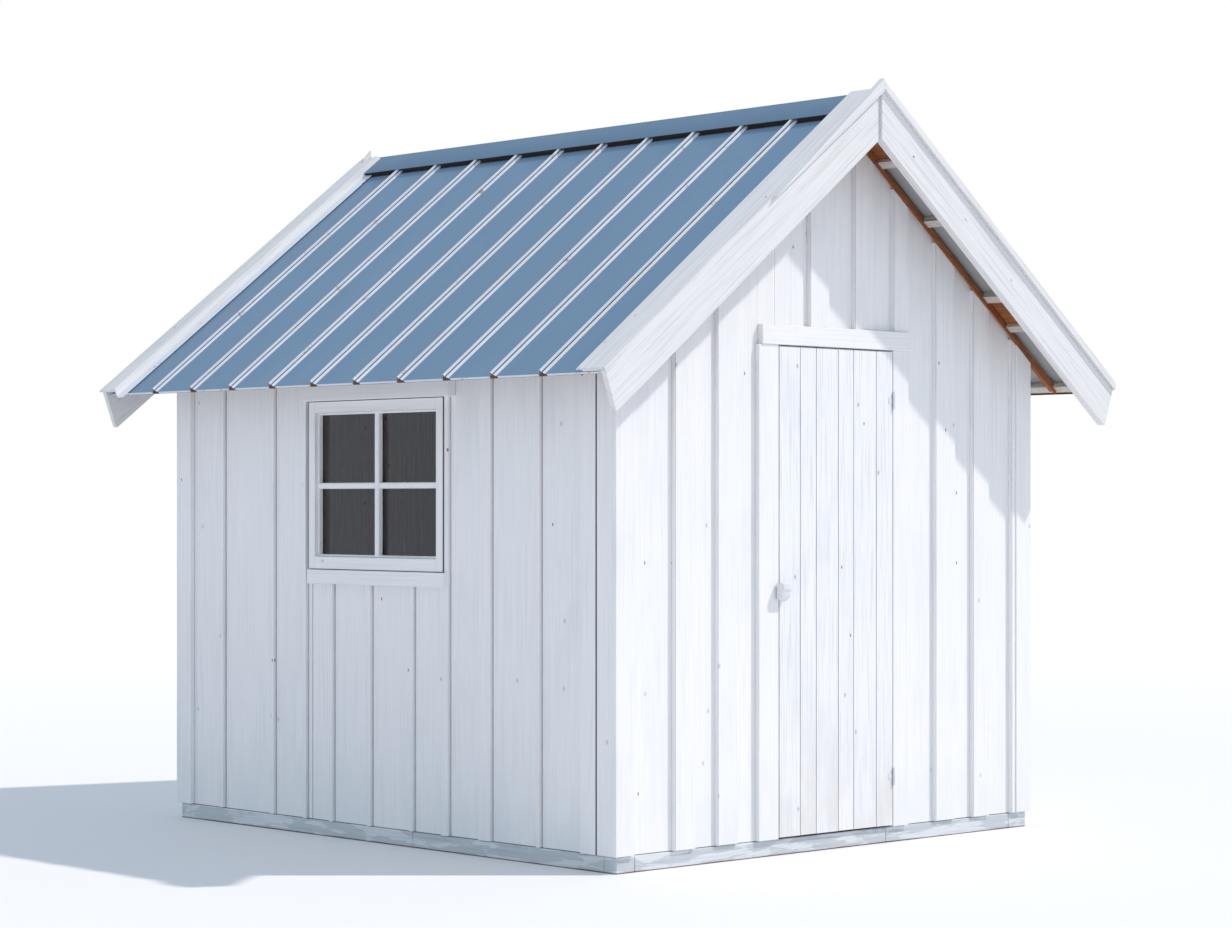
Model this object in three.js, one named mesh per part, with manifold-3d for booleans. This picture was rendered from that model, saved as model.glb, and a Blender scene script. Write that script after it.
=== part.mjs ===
// Timber garden shed with a ribbed metal roof, one window and one plank door.
// Millimetres, +Z up. The origin is on the ground at the centre of the walls:
// the door's gable faces -Y and the window's wall faces -X.

import * as THREE from 'three';
import { mergeVertices } from 'three/addons/utils/BufferGeometryUtils.js';
import Module from 'manifold-3d';

const wasm = await Module();
wasm.setup();

// ---------------------------------------------------------------- driving sizes

// Whole shed
const WALL_WIDTH = 2400;            // over the corner boards, along X
const WALL_LENGTH = 2766;           // over the corner boards, along Y
const ROOF_HEIGHT_AT_WALL = 2004.5; // roof pan's top face above the outside of a side wall
const ROOF_PITCH = THREE.MathUtils.degToRad(37.7);
const FACE_GAP = 0.3;               // between pieces that touch

// Base timbers and floor
const BASE_HEIGHT = 64;
const BASE_BEAM_WIDTH = 66;
const BASE_INSET = 16;              // behind the corner boards' faces
const FLOOR_THICKNESS = 44;

// Walls: boards outside, studs and lining inside, as one slab
const WALL_THICKNESS = 60;
const RAISED_BOARD_THICKNESS = 22;  // corner boards, trims and raised boards
const CORNER_BOARD_FRONT_WIDTH = 96;
const CORNER_BOARD_SIDE_WIDTH = 104;

// Doorway and its trims
const DOORWAY_CENTRE_X = -5;
const DOORWAY_WIDTH = 666;
const DOORWAY_TOP = 1968.5;
const DOOR_STOP_WIDTH = 20;         // how far the wall reaches behind the leaf
const DOOR_TRIM_LEFT_WIDTH = 108;
const DOOR_TRIM_RIGHT_WIDTH = 92;
const DOOR_HEADER_HEIGHT = 75.5;
const DOOR_HEADER_THICKNESS = 28;
const DOOR_HEADER_LEFT_REACH = 94;  // past the doorway's left side
const DOOR_HEADER_RIGHT_REACH = 92;

// Door leaf
const LEAF_GAP = 6;                 // at both sides, below and behind
const LEAF_TOP_GAP = 6;
const LEAF_THICKNESS = 22;
const LEDGE_HEIGHT = 100;
const LEDGE_THICKNESS = 22;
const LEDGE_END_INSET = 27;         // from the leaf's side edges
const LEDGE_FROM_END = 180;         // from the leaf's top or bottom edge
const LEDGE_BITE = 8;               // how far a ledge's solid runs into the leaf

// Latch on the leaf, reaching over the left trim
const LATCH_CENTRE_Z = 1018;
const LATCH_HEIGHT = 64;
const LATCH_DEPTH = 44;             // from the leaf's face
const LATCH_STANDOFF = 6;           // clear of the trim it reaches over
const LATCH_REACH = 24;             // past the leaf's edge
const LATCH_PLATE_WIDTH = 44;
const LATCH_PLATE_HEIGHT = 62;
const LATCH_PLATE_THICKNESS = 5;
const LATCH_BLOCK_HEIGHT = 26;

// Hinges in the right-hand joint
const HINGE_LENGTH = 70;
const HINGE_RADIUS = 5;
const HINGE_FORWARD = 6.5;          // barrel's axis in front of the leaf's face
const HINGE_TAB_THICKNESS = 1.6;
const HINGE_TAB_DEPTH = 16;         // how far the tab runs into the joint
const HINGE_FROM_END = 195;         // barrel's middle from the leaf's top or bottom

// Window in the left wall
const WINDOW_CENTRE_Y = 25;
const WINDOW_WIDTH = 846;           // sash, outer
const WINDOW_HEIGHT = 680;
const WINDOW_TOP_BELOW_ROOF = 234.5;
const WINDOW_JOINT = 3;             // round the sash
const SASH_THICKNESS = 45;
const SASH_STILE_WIDTH = 38;
const SASH_TOP_RAIL = 44;
const SASH_BOTTOM_RAIL = 50;
const GLASS_THICKNESS = 4;
const GLASS_SETBACK = 38;           // behind the sash's face
const HEAD_BOARD_HEIGHT = 95;
const HEAD_BOARD_PROUD = 20;        // in front of the raised boards
const HEAD_BOARD_NEAR_REACH = 56;   // past the sash, towards the door
const HEAD_BOARD_FAR_REACH = 34;
const SILL_BOARD_HEIGHT = 58;
const SILL_BOARD_PROUD = 10;
const SILL_BOARD_NEAR_REACH = 18;

// Roof sheets
const SHEET_THICKNESS = 2;
const EAVE_OVERHANG = 229;          // pan's edge past the side wall, in plan
const SHEET_END_GAP = 5;            // sheet's end to the barge boards
const RIDGE_SLOT = 8;               // from the ridge line to each sheet's top edge
const RIB_COUNT = 10;
const RIB_PITCH = 272;
const RIB_ROW_SHIFT = -9;           // middle of the row of ribs along Y
const RIB_HEIGHT = 18;
const RIB_BASE_WIDTH = 32;
const RIB_TOP_WIDTH = 20;
const RIDGE_CAP_WING = 125;
const RIDGE_CAP_THICKNESS = 2;

// Purlins and gable overhangs
const FRONT_OVERHANG = 219;         // wall face to the left barge board's outer face
const BACK_OVERHANG = 178;
const PURLIN_WIDTH = 38;
const PURLIN_DEPTH = 28;
const RIDGE_PURLIN_OFFSET = 269;    // plan distance from the ridge
const UPPER_PURLIN_OFFSET = 548;
const LOWER_PAIR_OUTER = 128;       // plan distance inside the wall's face
const LOWER_PAIR_INNER = 278;
const LOWER_PAIR_BOARD = 14;        // board between the two lower purlins
const EAVE_PURLIN_OFFSET = 185;     // plan distance outside the wall's face
const CLADDING_BELOW_PAN = 46;      // top of the corner boards, square to the slope

// Barge boards and the boards that cap the roof's verges
const BARGE_THICKNESS = 23;
const BARGE_STEP = 11;              // the front right board is this much thicker
const BARGE_BELOW_PAN = 132;
const BARGE_END_PAST_EAVE = 31;     // plan distance past the sheet's edge
const BARGE_TIP_SETBACK = 54;       // how far the cut end leans inwards
const BARGE_TIP_FLAT = 8;
const VERGE_CAP_LIFT = 5;           // above the ribs
const VERGE_CAP_FRONT_THICKNESS = 5;
const VERGE_CAP_BACK_THICKNESS = 8;
const VERGE_CAP_WIDTH = 177;
const VERGE_CAP_PROUD = 25;         // in front of the barge boards
const VERGE_STRIP_WIDTH = 27;       // strip along the front edge of the right cap
const VERGE_STRIP_THICKNESS = 25;
const PEAK_STRIP_REACH = 600;       // plan length of the tapered strip on the left
const PEAK_STRIP_DROP = 8;          // how far its foot drops below the cap at the peak
const PEAK_STRIP_RISE = 27;         // and its top rises over the cap there

// ---------------------------------------------------------------- derived places

const halfWidth = WALL_WIDTH / 2;
const halfLength = WALL_LENGTH / 2;
const slopeTan = Math.tan(ROOF_PITCH);
const slopeCos = Math.cos(ROOF_PITCH);
const slopeSin = Math.sin(ROOF_PITCH);
const ridgeZ = ROOF_HEIGHT_AT_WALL + slopeTan * halfWidth;

const slabOuterX = halfWidth - RAISED_BOARD_THICKNESS;
const slabOuterY = halfLength - RAISED_BOARD_THICKNESS;
const slabInnerX = slabOuterX - WALL_THICKNESS;
const slabInnerY = slabOuterY - WALL_THICKNESS;
const wallBottom = BASE_HEIGHT + FACE_GAP;
const tallEnough = ridgeZ + 100;

const purlinTop = SHEET_THICKNESS + 0.4;
const purlinBottom = purlinTop + PURLIN_DEPTH;
const bargeInnerFront = -halfLength - FRONT_OVERHANG + BARGE_THICKNESS;
const bargeInnerBack = halfLength + BACK_OVERHANG - BARGE_THICKNESS;
const sheetFront = bargeInnerFront + SHEET_END_GAP;
const sheetBack = bargeInnerBack - SHEET_END_GAP;
const eaveX = halfWidth + EAVE_OVERHANG;
const bargeEndX = eaveX + BARGE_END_PAST_EAVE;
const bargeAbovePan = RIB_HEIGHT + VERGE_CAP_LIFT;

const doorwayLeft = DOORWAY_CENTRE_X - DOORWAY_WIDTH / 2;
const doorwayRight = DOORWAY_CENTRE_X + DOORWAY_WIDTH / 2;
const leafLeft = doorwayLeft + LEAF_GAP;
const leafRight = doorwayRight - LEAF_GAP;
const leafBottom = BASE_HEIGHT + LEAF_GAP;
const leafTop = DOORWAY_TOP - LEAF_TOP_GAP;
const leafBackY = -halfLength + LEAF_THICKNESS;
const stopFaceY = leafBackY + LEAF_GAP;

const windowLow = WINDOW_CENTRE_Y - WINDOW_WIDTH / 2;
const windowHigh = WINDOW_CENTRE_Y + WINDOW_WIDTH / 2;
const windowTop = ROOF_HEIGHT_AT_WALL - WINDOW_TOP_BELOW_ROOF;
const windowBottom = windowTop - WINDOW_HEIGHT;

// ---------------------------------------------------------------- materials

function finish(color, roughness, metalness = 0) {
  return new THREE.MeshStandardMaterial({ color, roughness, metalness });
}

const whitePaint = finish(0xe9edf3, 0.65);
const doorPaint = finish(0xeff1f5, 0.62);
const weatheredPaint = finish(0xaab6c2, 0.8);
const purlinWood = finish(0xcdc6bd, 0.75);
const bareWood = finish(0x8a5530, 0.8);
const blueSheet = finish(0x6b89a6, 0.4, 0.6);
const paintedMetal = finish(0xe4e6ea, 0.5, 0.2);
const clearGlass = new THREE.MeshStandardMaterial({
  color: 0xd8e2e8,
  roughness: 0.05,
  transparent: true,
  opacity: 0.3,
});

// ---------------------------------------------------------------- shape helpers

// Extrudes an outline drawn in (x, z) from yLow to yHigh.
function prismAlongY(points, yLow, yHigh) {
  const shape = new THREE.Shape(points.map(([x, z]) => new THREE.Vector2(x, z)));
  const geometry = new THREE.ExtrudeGeometry(shape, { depth: yHigh - yLow, bevelEnabled: false });
  geometry.rotateX(Math.PI / 2);
  geometry.translate(0, yHigh, 0);
  return geometry;
}

// Extrudes an outline drawn in (x, y) from zLow to zHigh.
function prismAlongZ(points, zLow, zHigh) {
  const shape = new THREE.Shape(points.map(([x, y]) => new THREE.Vector2(x, y)));
  const geometry = new THREE.ExtrudeGeometry(shape, { depth: zHigh - zLow, bevelEnabled: false });
  geometry.translate(0, 0, zLow);
  return geometry;
}

function box([x0, y0, z0], [x1, y1, z1]) {
  const geometry = new THREE.BoxGeometry(x1 - x0, y1 - y0, z1 - z0);
  geometry.translate((x0 + x1) / 2, (y0 + y1) / 2, (z0 + z1) / 2);
  return geometry;
}

function solidOf(geometry) {
  const bare = geometry.clone();
  bare.deleteAttribute('normal');
  bare.deleteAttribute('uv');
  const merged = mergeVertices(bare, 1e-3);
  return new wasm.Manifold(new wasm.Mesh({
    numProp: 3,
    vertProperties: Float32Array.from(merged.attributes.position.array),
    triVerts: Uint32Array.from(merged.index.array),
  }));
}

function geometryOf(solid) {
  const mesh = solid.getMesh();
  const geometry = new THREE.BufferGeometry();
  geometry.setAttribute('position', new THREE.BufferAttribute(mesh.vertProperties, 3));
  geometry.setIndex(new THREE.BufferAttribute(mesh.triVerts, 1));
  geometry.computeVertexNormals();
  return geometry;
}

function cut(geometry, ...tools) {
  return geometryOf(tools.reduce((left, tool) => left.subtract(solidOf(tool)), solidOf(geometry)));
}

function join(geometry, ...others) {
  return geometryOf(others.reduce((whole, other) => whole.add(solidOf(other)), solidOf(geometry)));
}

function addMesh(group, name, geometry, material) {
  const mesh = new THREE.Mesh(geometry, material);
  mesh.name = name;
  group.add(mesh);
  return mesh;
}

function addBoard(group, name, low, high, material) {
  const mesh = addMesh(group, name, new THREE.BoxGeometry(
    high[0] - low[0],
    high[1] - low[1],
    high[2] - low[2],
  ), material);
  mesh.position.set((low[0] + high[0]) / 2, (low[1] + high[1]) / 2, (low[2] + high[2]) / 2);
  return mesh;
}

// A point under the roof: side is -1 or 1, planX the distance from the ridge of the
// pan point above it, and drop how far it lies below the pan, square to the slope.
function underRoof(side, planX, drop) {
  return [
    side * (planX - drop * slopeSin),
    ridgeZ - slopeTan * planX - drop * slopeCos,
  ];
}

// Everything above a plane pair that lies drop below the pan.
function aboveRoof(drop) {
  const apexZ = ridgeZ - drop / slopeCos;
  const reach = halfWidth * 2;
  return prismAlongY([
    [0, apexZ],
    [reach, apexZ - slopeTan * reach],
    [reach, tallEnough * 2],
    [-reach, tallEnough * 2],
    [-reach, apexZ - slopeTan * reach],
  ], -WALL_LENGTH, WALL_LENGTH);
}

// ---------------------------------------------------------------- base and floor

function buildBase() {
  const group = new THREE.Group();
  const outerX = halfWidth - BASE_INSET;
  const outerY = halfLength - BASE_INSET;
  const innerX = outerX - BASE_BEAM_WIDTH;
  const innerY = outerY - BASE_BEAM_WIDTH;
  for (const [name, side] of [['base_front', -1], ['base_back', 1]]) {
    const ys = [side * innerY, side * outerY].sort((a, b) => a - b);
    addBoard(group, name, [-outerX, ys[0], 0], [outerX, ys[1], BASE_HEIGHT], weatheredPaint);
  }
  for (const [name, side] of [['base_left', -1], ['base_right', 1]]) {
    const xs = [side * innerX, side * outerX].sort((a, b) => a - b);
    const endY = innerY - FACE_GAP;
    addBoard(group, name, [xs[0], -endY, 0], [xs[1], endY, BASE_HEIGHT], weatheredPaint);
  }
  const floorX = innerX - FACE_GAP;
  const floorY = innerY - FACE_GAP;
  const floorLow = BASE_HEIGHT - FLOOR_THICKNESS;
  addBoard(group, 'floor', [-floorX, -floorY, floorLow], [floorX, floorY, BASE_HEIGHT], bareWood);
  return group;
}

// ---------------------------------------------------------------- purlins

// Outline of a run of timber under one slope, between two plan distances.
function purlinOutline(side, planNear, planFar, clearance = 0) {
  const near = planNear - clearance * slopeCos;
  const far = planFar + clearance * slopeCos;
  return [
    underRoof(side, near, purlinTop - clearance),
    underRoof(side, far, purlinTop - clearance),
    underRoof(side, far, purlinBottom + clearance),
    underRoof(side, near, purlinBottom + clearance),
  ];
}

function aroundCentre(centre) {
  const half = PURLIN_WIDTH / 2 * slopeCos;
  return [centre - half, centre + half];
}

const lowerPair = [halfWidth - LOWER_PAIR_INNER, halfWidth - LOWER_PAIR_OUTER];
const purlinRuns = {
  ridge: aroundCentre(RIDGE_PURLIN_OFFSET),
  upper: aroundCentre(UPPER_PURLIN_OFFSET),
  lower: [aroundCentre(lowerPair[0])[0], aroundCentre(lowerPair[1])[1]],
  eave: aroundCentre(halfWidth + EAVE_PURLIN_OFFSET),
};

// The two lower purlins and the board between them, as one channel.
function lowerPairOutline(side) {
  const [near, far] = purlinRuns.lower;
  const nearInside = aroundCentre(lowerPair[0])[1];
  const farInside = aroundCentre(lowerPair[1])[0];
  return [
    underRoof(side, near, purlinTop),
    underRoof(side, far, purlinTop),
    underRoof(side, far, purlinBottom),
    underRoof(side, farInside, purlinBottom),
    underRoof(side, farInside, purlinTop + LOWER_PAIR_BOARD),
    underRoof(side, nearInside, purlinTop + LOWER_PAIR_BOARD),
    underRoof(side, nearInside, purlinBottom),
    underRoof(side, near, purlinBottom),
  ];
}

function buildPurlins() {
  const group = new THREE.Group();
  for (const [label, side] of [['left', -1], ['right', 1]]) {
    for (const [run, [near, far]] of Object.entries(purlinRuns)) {
      const outline = run === 'lower' ? lowerPairOutline(side) : purlinOutline(side, near, far);
      const name = `purlin_${run}_${label}`;
      const purlin = prismAlongY(outline, bargeInnerFront + FACE_GAP, bargeInnerBack - FACE_GAP);
      addMesh(group, name, purlin, purlinWood);
    }
  }
  return group;
}

// ---------------------------------------------------------------- walls

// Room for every purlin where it passes through a gable wall.
function purlinNotches() {
  const notches = [];
  for (const side of [-1, 1]) {
    for (const [near, far] of [purlinRuns.ridge, purlinRuns.upper, purlinRuns.lower]) {
      const outline = purlinOutline(side, near, far, FACE_GAP);
      const top = [underRoof(side, far, -20), underRoof(side, near, -20)];
      notches.push(prismAlongY([outline[3], outline[2], ...top], -WALL_LENGTH, WALL_LENGTH));
    }
  }
  return notches;
}

function fitUnderRoof(geometry, notched) {
  const tools = [aboveRoof(purlinTop), ...(notched ? purlinNotches() : [])];
  return cut(geometry, ...tools);
}

// Plan of the wall beside the doorway, with a rebate for the leaf.
function besideDoorwayPlan(side) {
  const openingX = side < 0 ? doorwayLeft : doorwayRight;
  const stopX = openingX - side * DOOR_STOP_WIDTH;
  return [
    [side * slabOuterX, -slabOuterY],
    [openingX, -slabOuterY],
    [openingX, stopFaceY],
    [stopX, stopFaceY],
    [stopX, -slabInnerY],
    [side * slabOuterX, -slabInnerY],
  ];
}

function buildFrontWall() {
  const group = new THREE.Group();
  for (const [name, side] of [['front_wall_left', -1], ['front_wall_right', 1]]) {
    const slab = prismAlongZ(besideDoorwayPlan(side), wallBottom, tallEnough);
    addMesh(group, name, fitUnderRoof(slab, true), whitePaint);
  }
  const gablePlan = [
    [doorwayLeft + FACE_GAP, -slabOuterY],
    [doorwayRight - FACE_GAP, -slabOuterY],
    [doorwayRight - FACE_GAP, stopFaceY - FACE_GAP],
    [doorwayRight - DOOR_STOP_WIDTH - FACE_GAP, stopFaceY - FACE_GAP],
    [doorwayRight - DOOR_STOP_WIDTH - FACE_GAP, -slabInnerY],
    [doorwayLeft + DOOR_STOP_WIDTH + FACE_GAP, -slabInnerY],
    [doorwayLeft + DOOR_STOP_WIDTH + FACE_GAP, stopFaceY - FACE_GAP],
    [doorwayLeft + FACE_GAP, stopFaceY - FACE_GAP],
  ];
  const overDoor = prismAlongZ(gablePlan, DOORWAY_TOP - DOOR_STOP_WIDTH, tallEnough);
  const headRebate = box(
    [doorwayLeft - 1, -slabOuterY - 1, DOORWAY_TOP - DOOR_STOP_WIDTH - 1],
    [doorwayRight + 1, stopFaceY, DOORWAY_TOP],
  );
  const gable = cut(overDoor, headRebate);
  addMesh(group, 'front_gable', fitUnderRoof(gable, true), whitePaint);
  return group;
}

function buildBackWall() {
  const group = new THREE.Group();
  const slab = box([-slabOuterX, slabInnerY, wallBottom], [slabOuterX, slabOuterY, tallEnough]);
  addMesh(group, 'back_wall', fitUnderRoof(slab, true), whitePaint);
  return group;
}

function buildSideWalls() {
  const group = new THREE.Group();
  const endY = slabInnerY - FACE_GAP;
  const openLow = windowLow - WINDOW_JOINT;
  const openHigh = windowHigh + WINDOW_JOINT;
  const openBottom = windowBottom - WINDOW_JOINT;
  const openTop = windowTop + WINDOW_JOINT;
  const leftPieces = {
    left_wall_front: [-endY, openLow - FACE_GAP, wallBottom, tallEnough],
    left_wall_back: [openHigh + FACE_GAP, endY, wallBottom, tallEnough],
    left_wall_below_window: [openLow, openHigh, wallBottom, openBottom],
    left_wall_over_window: [openLow, openHigh, openTop, tallEnough],
  };
  for (const [name, [yLow, yHigh, zLow, zHigh]] of Object.entries(leftPieces)) {
    const slab = box([-slabOuterX, yLow, zLow], [-slabInnerX, yHigh, zHigh]);
    addMesh(group, name, fitUnderRoof(slab, false), whitePaint);
  }
  const right = box([slabInnerX, -endY, wallBottom], [slabOuterX, endY, tallEnough]);
  addMesh(group, 'right_wall', fitUnderRoof(right, false), whitePaint);
  return group;
}

function buildCornerBoards() {
  const group = new THREE.Group();
  for (const [frontLabel, ySide] of [['front', -1], ['back', 1]]) {
    for (const [sideLabel, xSide] of [['left', -1], ['right', 1]]) {
      const insideX = slabOuterX + FACE_GAP;
      const insideY = slabOuterY + FACE_GAP;
      const plan = [
        [halfWidth, halfLength],
        [halfWidth - CORNER_BOARD_FRONT_WIDTH, halfLength],
        [halfWidth - CORNER_BOARD_FRONT_WIDTH, insideY],
        [insideX, insideY],
        [insideX, halfLength - CORNER_BOARD_SIDE_WIDTH],
        [halfWidth, halfLength - CORNER_BOARD_SIDE_WIDTH],
      ].map(([x, y]) => [xSide * x, ySide * y]);
      const tall = prismAlongZ(plan, wallBottom, tallEnough);
      const board = cut(tall, aboveRoof(CLADDING_BELOW_PAN));
      addMesh(group, `corner_board_${frontLabel}_${sideLabel}`, board, whitePaint);
    }
  }
  return group;
}

// ---------------------------------------------------------------- door surround

function buildDoorSurround() {
  const group = new THREE.Group();
  const backY = -slabOuterY - FACE_GAP;
  const trimTop = DOORWAY_TOP - FACE_GAP;
  addBoard(group, 'door_trim_left',
    [doorwayLeft - DOOR_TRIM_LEFT_WIDTH, -halfLength, wallBottom],
    [doorwayLeft, backY, trimTop], whitePaint);
  addBoard(group, 'door_trim_right',
    [doorwayRight, -halfLength, wallBottom],
    [doorwayRight + DOOR_TRIM_RIGHT_WIDTH, backY, trimTop], whitePaint);
  addBoard(group, 'door_header',
    [doorwayLeft - DOOR_HEADER_LEFT_REACH, -slabOuterY - DOOR_HEADER_THICKNESS, DOORWAY_TOP],
    [doorwayRight + DOOR_HEADER_RIGHT_REACH, backY, DOORWAY_TOP + DOOR_HEADER_HEIGHT], whitePaint);
  return group;
}

// A barrel with a tab that runs back along the trim's edge.
function hingeGeometry(middleZ) {
  const axisX = doorwayRight - LEAF_GAP / 2;
  const axisY = -halfLength - HINGE_FORWARD;
  const barrel = new THREE.CylinderGeometry(HINGE_RADIUS, HINGE_RADIUS, HINGE_LENGTH, 16);
  barrel.rotateX(Math.PI / 2);
  barrel.translate(axisX, axisY, middleZ);
  const tabRight = doorwayRight - FACE_GAP;
  const tab = box(
    [tabRight - HINGE_TAB_THICKNESS, axisY, middleZ - HINGE_LENGTH / 2],
    [tabRight, -halfLength + HINGE_TAB_DEPTH, middleZ + HINGE_LENGTH / 2],
  );
  return join(barrel, tab);
}

function buildHinges() {
  const group = new THREE.Group();
  const lowerZ = leafBottom + HINGE_FROM_END;
  const upperZ = leafTop - HINGE_FROM_END;
  addMesh(group, 'hinge_lower', hingeGeometry(lowerZ), paintedMetal);
  addMesh(group, 'hinge_upper', hingeGeometry(upperZ), paintedMetal);
  return group;
}

// ---------------------------------------------------------------- door

function doorLeafGeometry() {
  const leaf = box([leafLeft, -halfLength, leafBottom], [leafRight, leafBackY, leafTop]);
  const low = leafBottom + LEDGE_FROM_END;
  const high = leafTop - LEDGE_FROM_END - LEDGE_HEIGHT;
  const ledges = [low, (low + high) / 2, high].map((z) => box(
    [leafLeft + LEDGE_END_INSET, leafBackY - LEDGE_BITE, z],
    [leafRight - LEDGE_END_INSET, leafBackY + LEDGE_THICKNESS, z + LEDGE_HEIGHT],
  ));
  return join(leaf, ...ledges);
}

// Side outline of the catch, in (y, z): a square block over a rounded lug.
function catchOutline() {
  const faceY = -halfLength;
  const top = LATCH_CENTRE_Z + LATCH_HEIGHT / 2;
  const shelf = top - LATCH_BLOCK_HEIGHT;
  const bottom = LATCH_CENTRE_Z - LATCH_HEIGHT / 2;
  const backY = faceY - LATCH_STANDOFF;
  const frontY = faceY - LATCH_DEPTH;
  const shape = new THREE.Shape();
  shape.moveTo(backY, bottom);
  shape.lineTo(backY, top);
  shape.lineTo(frontY, top);
  shape.lineTo(frontY, shelf);
  shape.lineTo(frontY + 4, shelf);
  shape.quadraticCurveTo(frontY + 4, bottom, backY - 4, bottom);
  return shape;
}

function latchGeometry() {
  const plateRight = leafLeft + LATCH_PLATE_WIDTH;
  const faceY = -halfLength - FACE_GAP;
  const plate = box(
    [leafLeft + 2, faceY - LATCH_PLATE_THICKNESS, LATCH_CENTRE_Z - LATCH_PLATE_HEIGHT / 2],
    [plateRight, faceY, LATCH_CENTRE_Z + LATCH_PLATE_HEIGHT / 2],
  );
  const catchLeft = leafLeft - LATCH_REACH;
  const catchWidth = LATCH_REACH + LATCH_PLATE_WIDTH / 2;
  const lug = new THREE.ExtrudeGeometry(catchOutline(), {
    depth: catchWidth,
    bevelEnabled: false,
    curveSegments: 6,
  });
  // The outline's (y, z) plane is turned so that the extrusion runs along +X.
  lug.applyMatrix4(new THREE.Matrix4().makeBasis(
    new THREE.Vector3(0, 1, 0),
    new THREE.Vector3(0, 0, 1),
    new THREE.Vector3(1, 0, 0),
  ));
  lug.translate(catchLeft, 0, 0);
  const neck = box(
    [leafLeft + 2, -halfLength - LATCH_DEPTH / 2, LATCH_CENTRE_Z - LATCH_HEIGHT / 4],
    [leafLeft + LATCH_PLATE_WIDTH / 2, faceY, LATCH_CENTRE_Z + LATCH_HEIGHT / 2],
  );
  return join(plate, neck, lug);
}

function buildDoor() {
  const group = new THREE.Group();
  addMesh(group, 'door_leaf', doorLeafGeometry(), doorPaint);
  addMesh(group, 'door_latch', latchGeometry(), paintedMetal);
  return group;
}

// ---------------------------------------------------------------- window

function buildWindow() {
  const group = new THREE.Group();
  const faceX = -halfWidth;
  const backX = faceX + SASH_THICKNESS;
  const innerLow = windowLow + SASH_STILE_WIDTH;
  const innerHigh = windowHigh - SASH_STILE_WIDTH;
  const glassBottom = windowBottom + SASH_BOTTOM_RAIL;
  const glassTop = windowTop - SASH_TOP_RAIL;
  addBoard(group, 'window_stile_front',
    [faceX, windowLow, windowBottom], [backX, innerLow, windowTop], whitePaint);
  addBoard(group, 'window_stile_back',
    [faceX, innerHigh, windowBottom], [backX, windowHigh, windowTop], whitePaint);
  const railLow = innerLow + FACE_GAP;
  const railHigh = innerHigh - FACE_GAP;
  addBoard(group, 'window_rail_bottom',
    [faceX, railLow, windowBottom], [backX, railHigh, glassBottom], whitePaint);
  addBoard(group, 'window_rail_top',
    [faceX, railLow, glassTop], [backX, railHigh, windowTop], whitePaint);
  const glassX = faceX + GLASS_SETBACK;
  addBoard(group, 'window_glass',
    [glassX, railLow, glassBottom + FACE_GAP],
    [glassX + GLASS_THICKNESS, railHigh, glassTop - FACE_GAP], clearGlass);

  const wallFaceX = -slabOuterX - FACE_GAP;
  const headBottom = windowTop + WINDOW_JOINT;
  addBoard(group, 'window_head_board',
    [faceX - HEAD_BOARD_PROUD, windowLow - HEAD_BOARD_NEAR_REACH, headBottom],
    [wallFaceX, windowHigh + HEAD_BOARD_FAR_REACH, headBottom + HEAD_BOARD_HEIGHT], whitePaint);
  const sillTop = windowBottom - WINDOW_JOINT;
  addBoard(group, 'window_sill_board',
    [faceX - SILL_BOARD_PROUD, windowLow - SILL_BOARD_NEAR_REACH, sillTop - SILL_BOARD_HEIGHT],
    [wallFaceX, windowHigh, sillTop], whitePaint);
  return group;
}

// ---------------------------------------------------------------- roof

// Section across the ribs: (along Y, above the pan), a closed thin strip.
function sheetSection() {
  const top = [[sheetFront, 0]];
  for (let i = 0; i < RIB_COUNT; i += 1) {
    const centre = RIB_ROW_SHIFT + (i - (RIB_COUNT - 1) / 2) * RIB_PITCH;
    top.push([centre - RIB_BASE_WIDTH / 2, 0]);
    top.push([centre - RIB_TOP_WIDTH / 2, RIB_HEIGHT]);
    top.push([centre + RIB_TOP_WIDTH / 2, RIB_HEIGHT]);
    top.push([centre + RIB_BASE_WIDTH / 2, 0]);
  }
  top.push([sheetBack, 0]);
  const under = top.map(([y, height]) => [y, height - SHEET_THICKNESS]).reverse();
  return new THREE.Shape([...top, ...under].map(([y, height]) => new THREE.Vector2(y, height)));
}

function buildSheet(side) {
  const length = (eaveX - RIDGE_SLOT) / slopeCos;
  const geometry = new THREE.ExtrudeGeometry(sheetSection(), {
    depth: length,
    bevelEnabled: false,
  });
  const along = new THREE.Vector3(0, 1, 0);
  const normal = new THREE.Vector3(side * slopeSin, 0, slopeCos);
  const extrudeDirection = new THREE.Vector3().crossVectors(along, normal);
  geometry.applyMatrix4(new THREE.Matrix4().makeBasis(along, normal, extrudeDirection));
  const startX = side > 0 ? RIDGE_SLOT : -eaveX;
  geometry.translate(startX, 0, ridgeZ - slopeTan * Math.abs(startX));
  return geometry;
}

function ridgeCapGeometry() {
  const underside = RIB_HEIGHT + 0.4;
  const upper = underside + RIDGE_CAP_THICKNESS;
  const edge = RIDGE_CAP_WING * slopeCos;
  const outline = [
    underRoof(-1, edge, -underside),
    [0, ridgeZ + underside / slopeCos],
    underRoof(1, edge, -underside),
    underRoof(1, edge, -upper),
    [0, ridgeZ + upper / slopeCos],
    underRoof(-1, edge, -upper),
  ];
  return prismAlongY(outline, sheetFront, sheetBack);
}

function buildRoofSheets() {
  const group = new THREE.Group();
  addMesh(group, 'roof_sheet_left', buildSheet(-1), blueSheet);
  addMesh(group, 'roof_sheet_right', buildSheet(1), blueSheet);
  addMesh(group, 'ridge_cap', ridgeCapGeometry(), blueSheet);
  return group;
}

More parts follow.
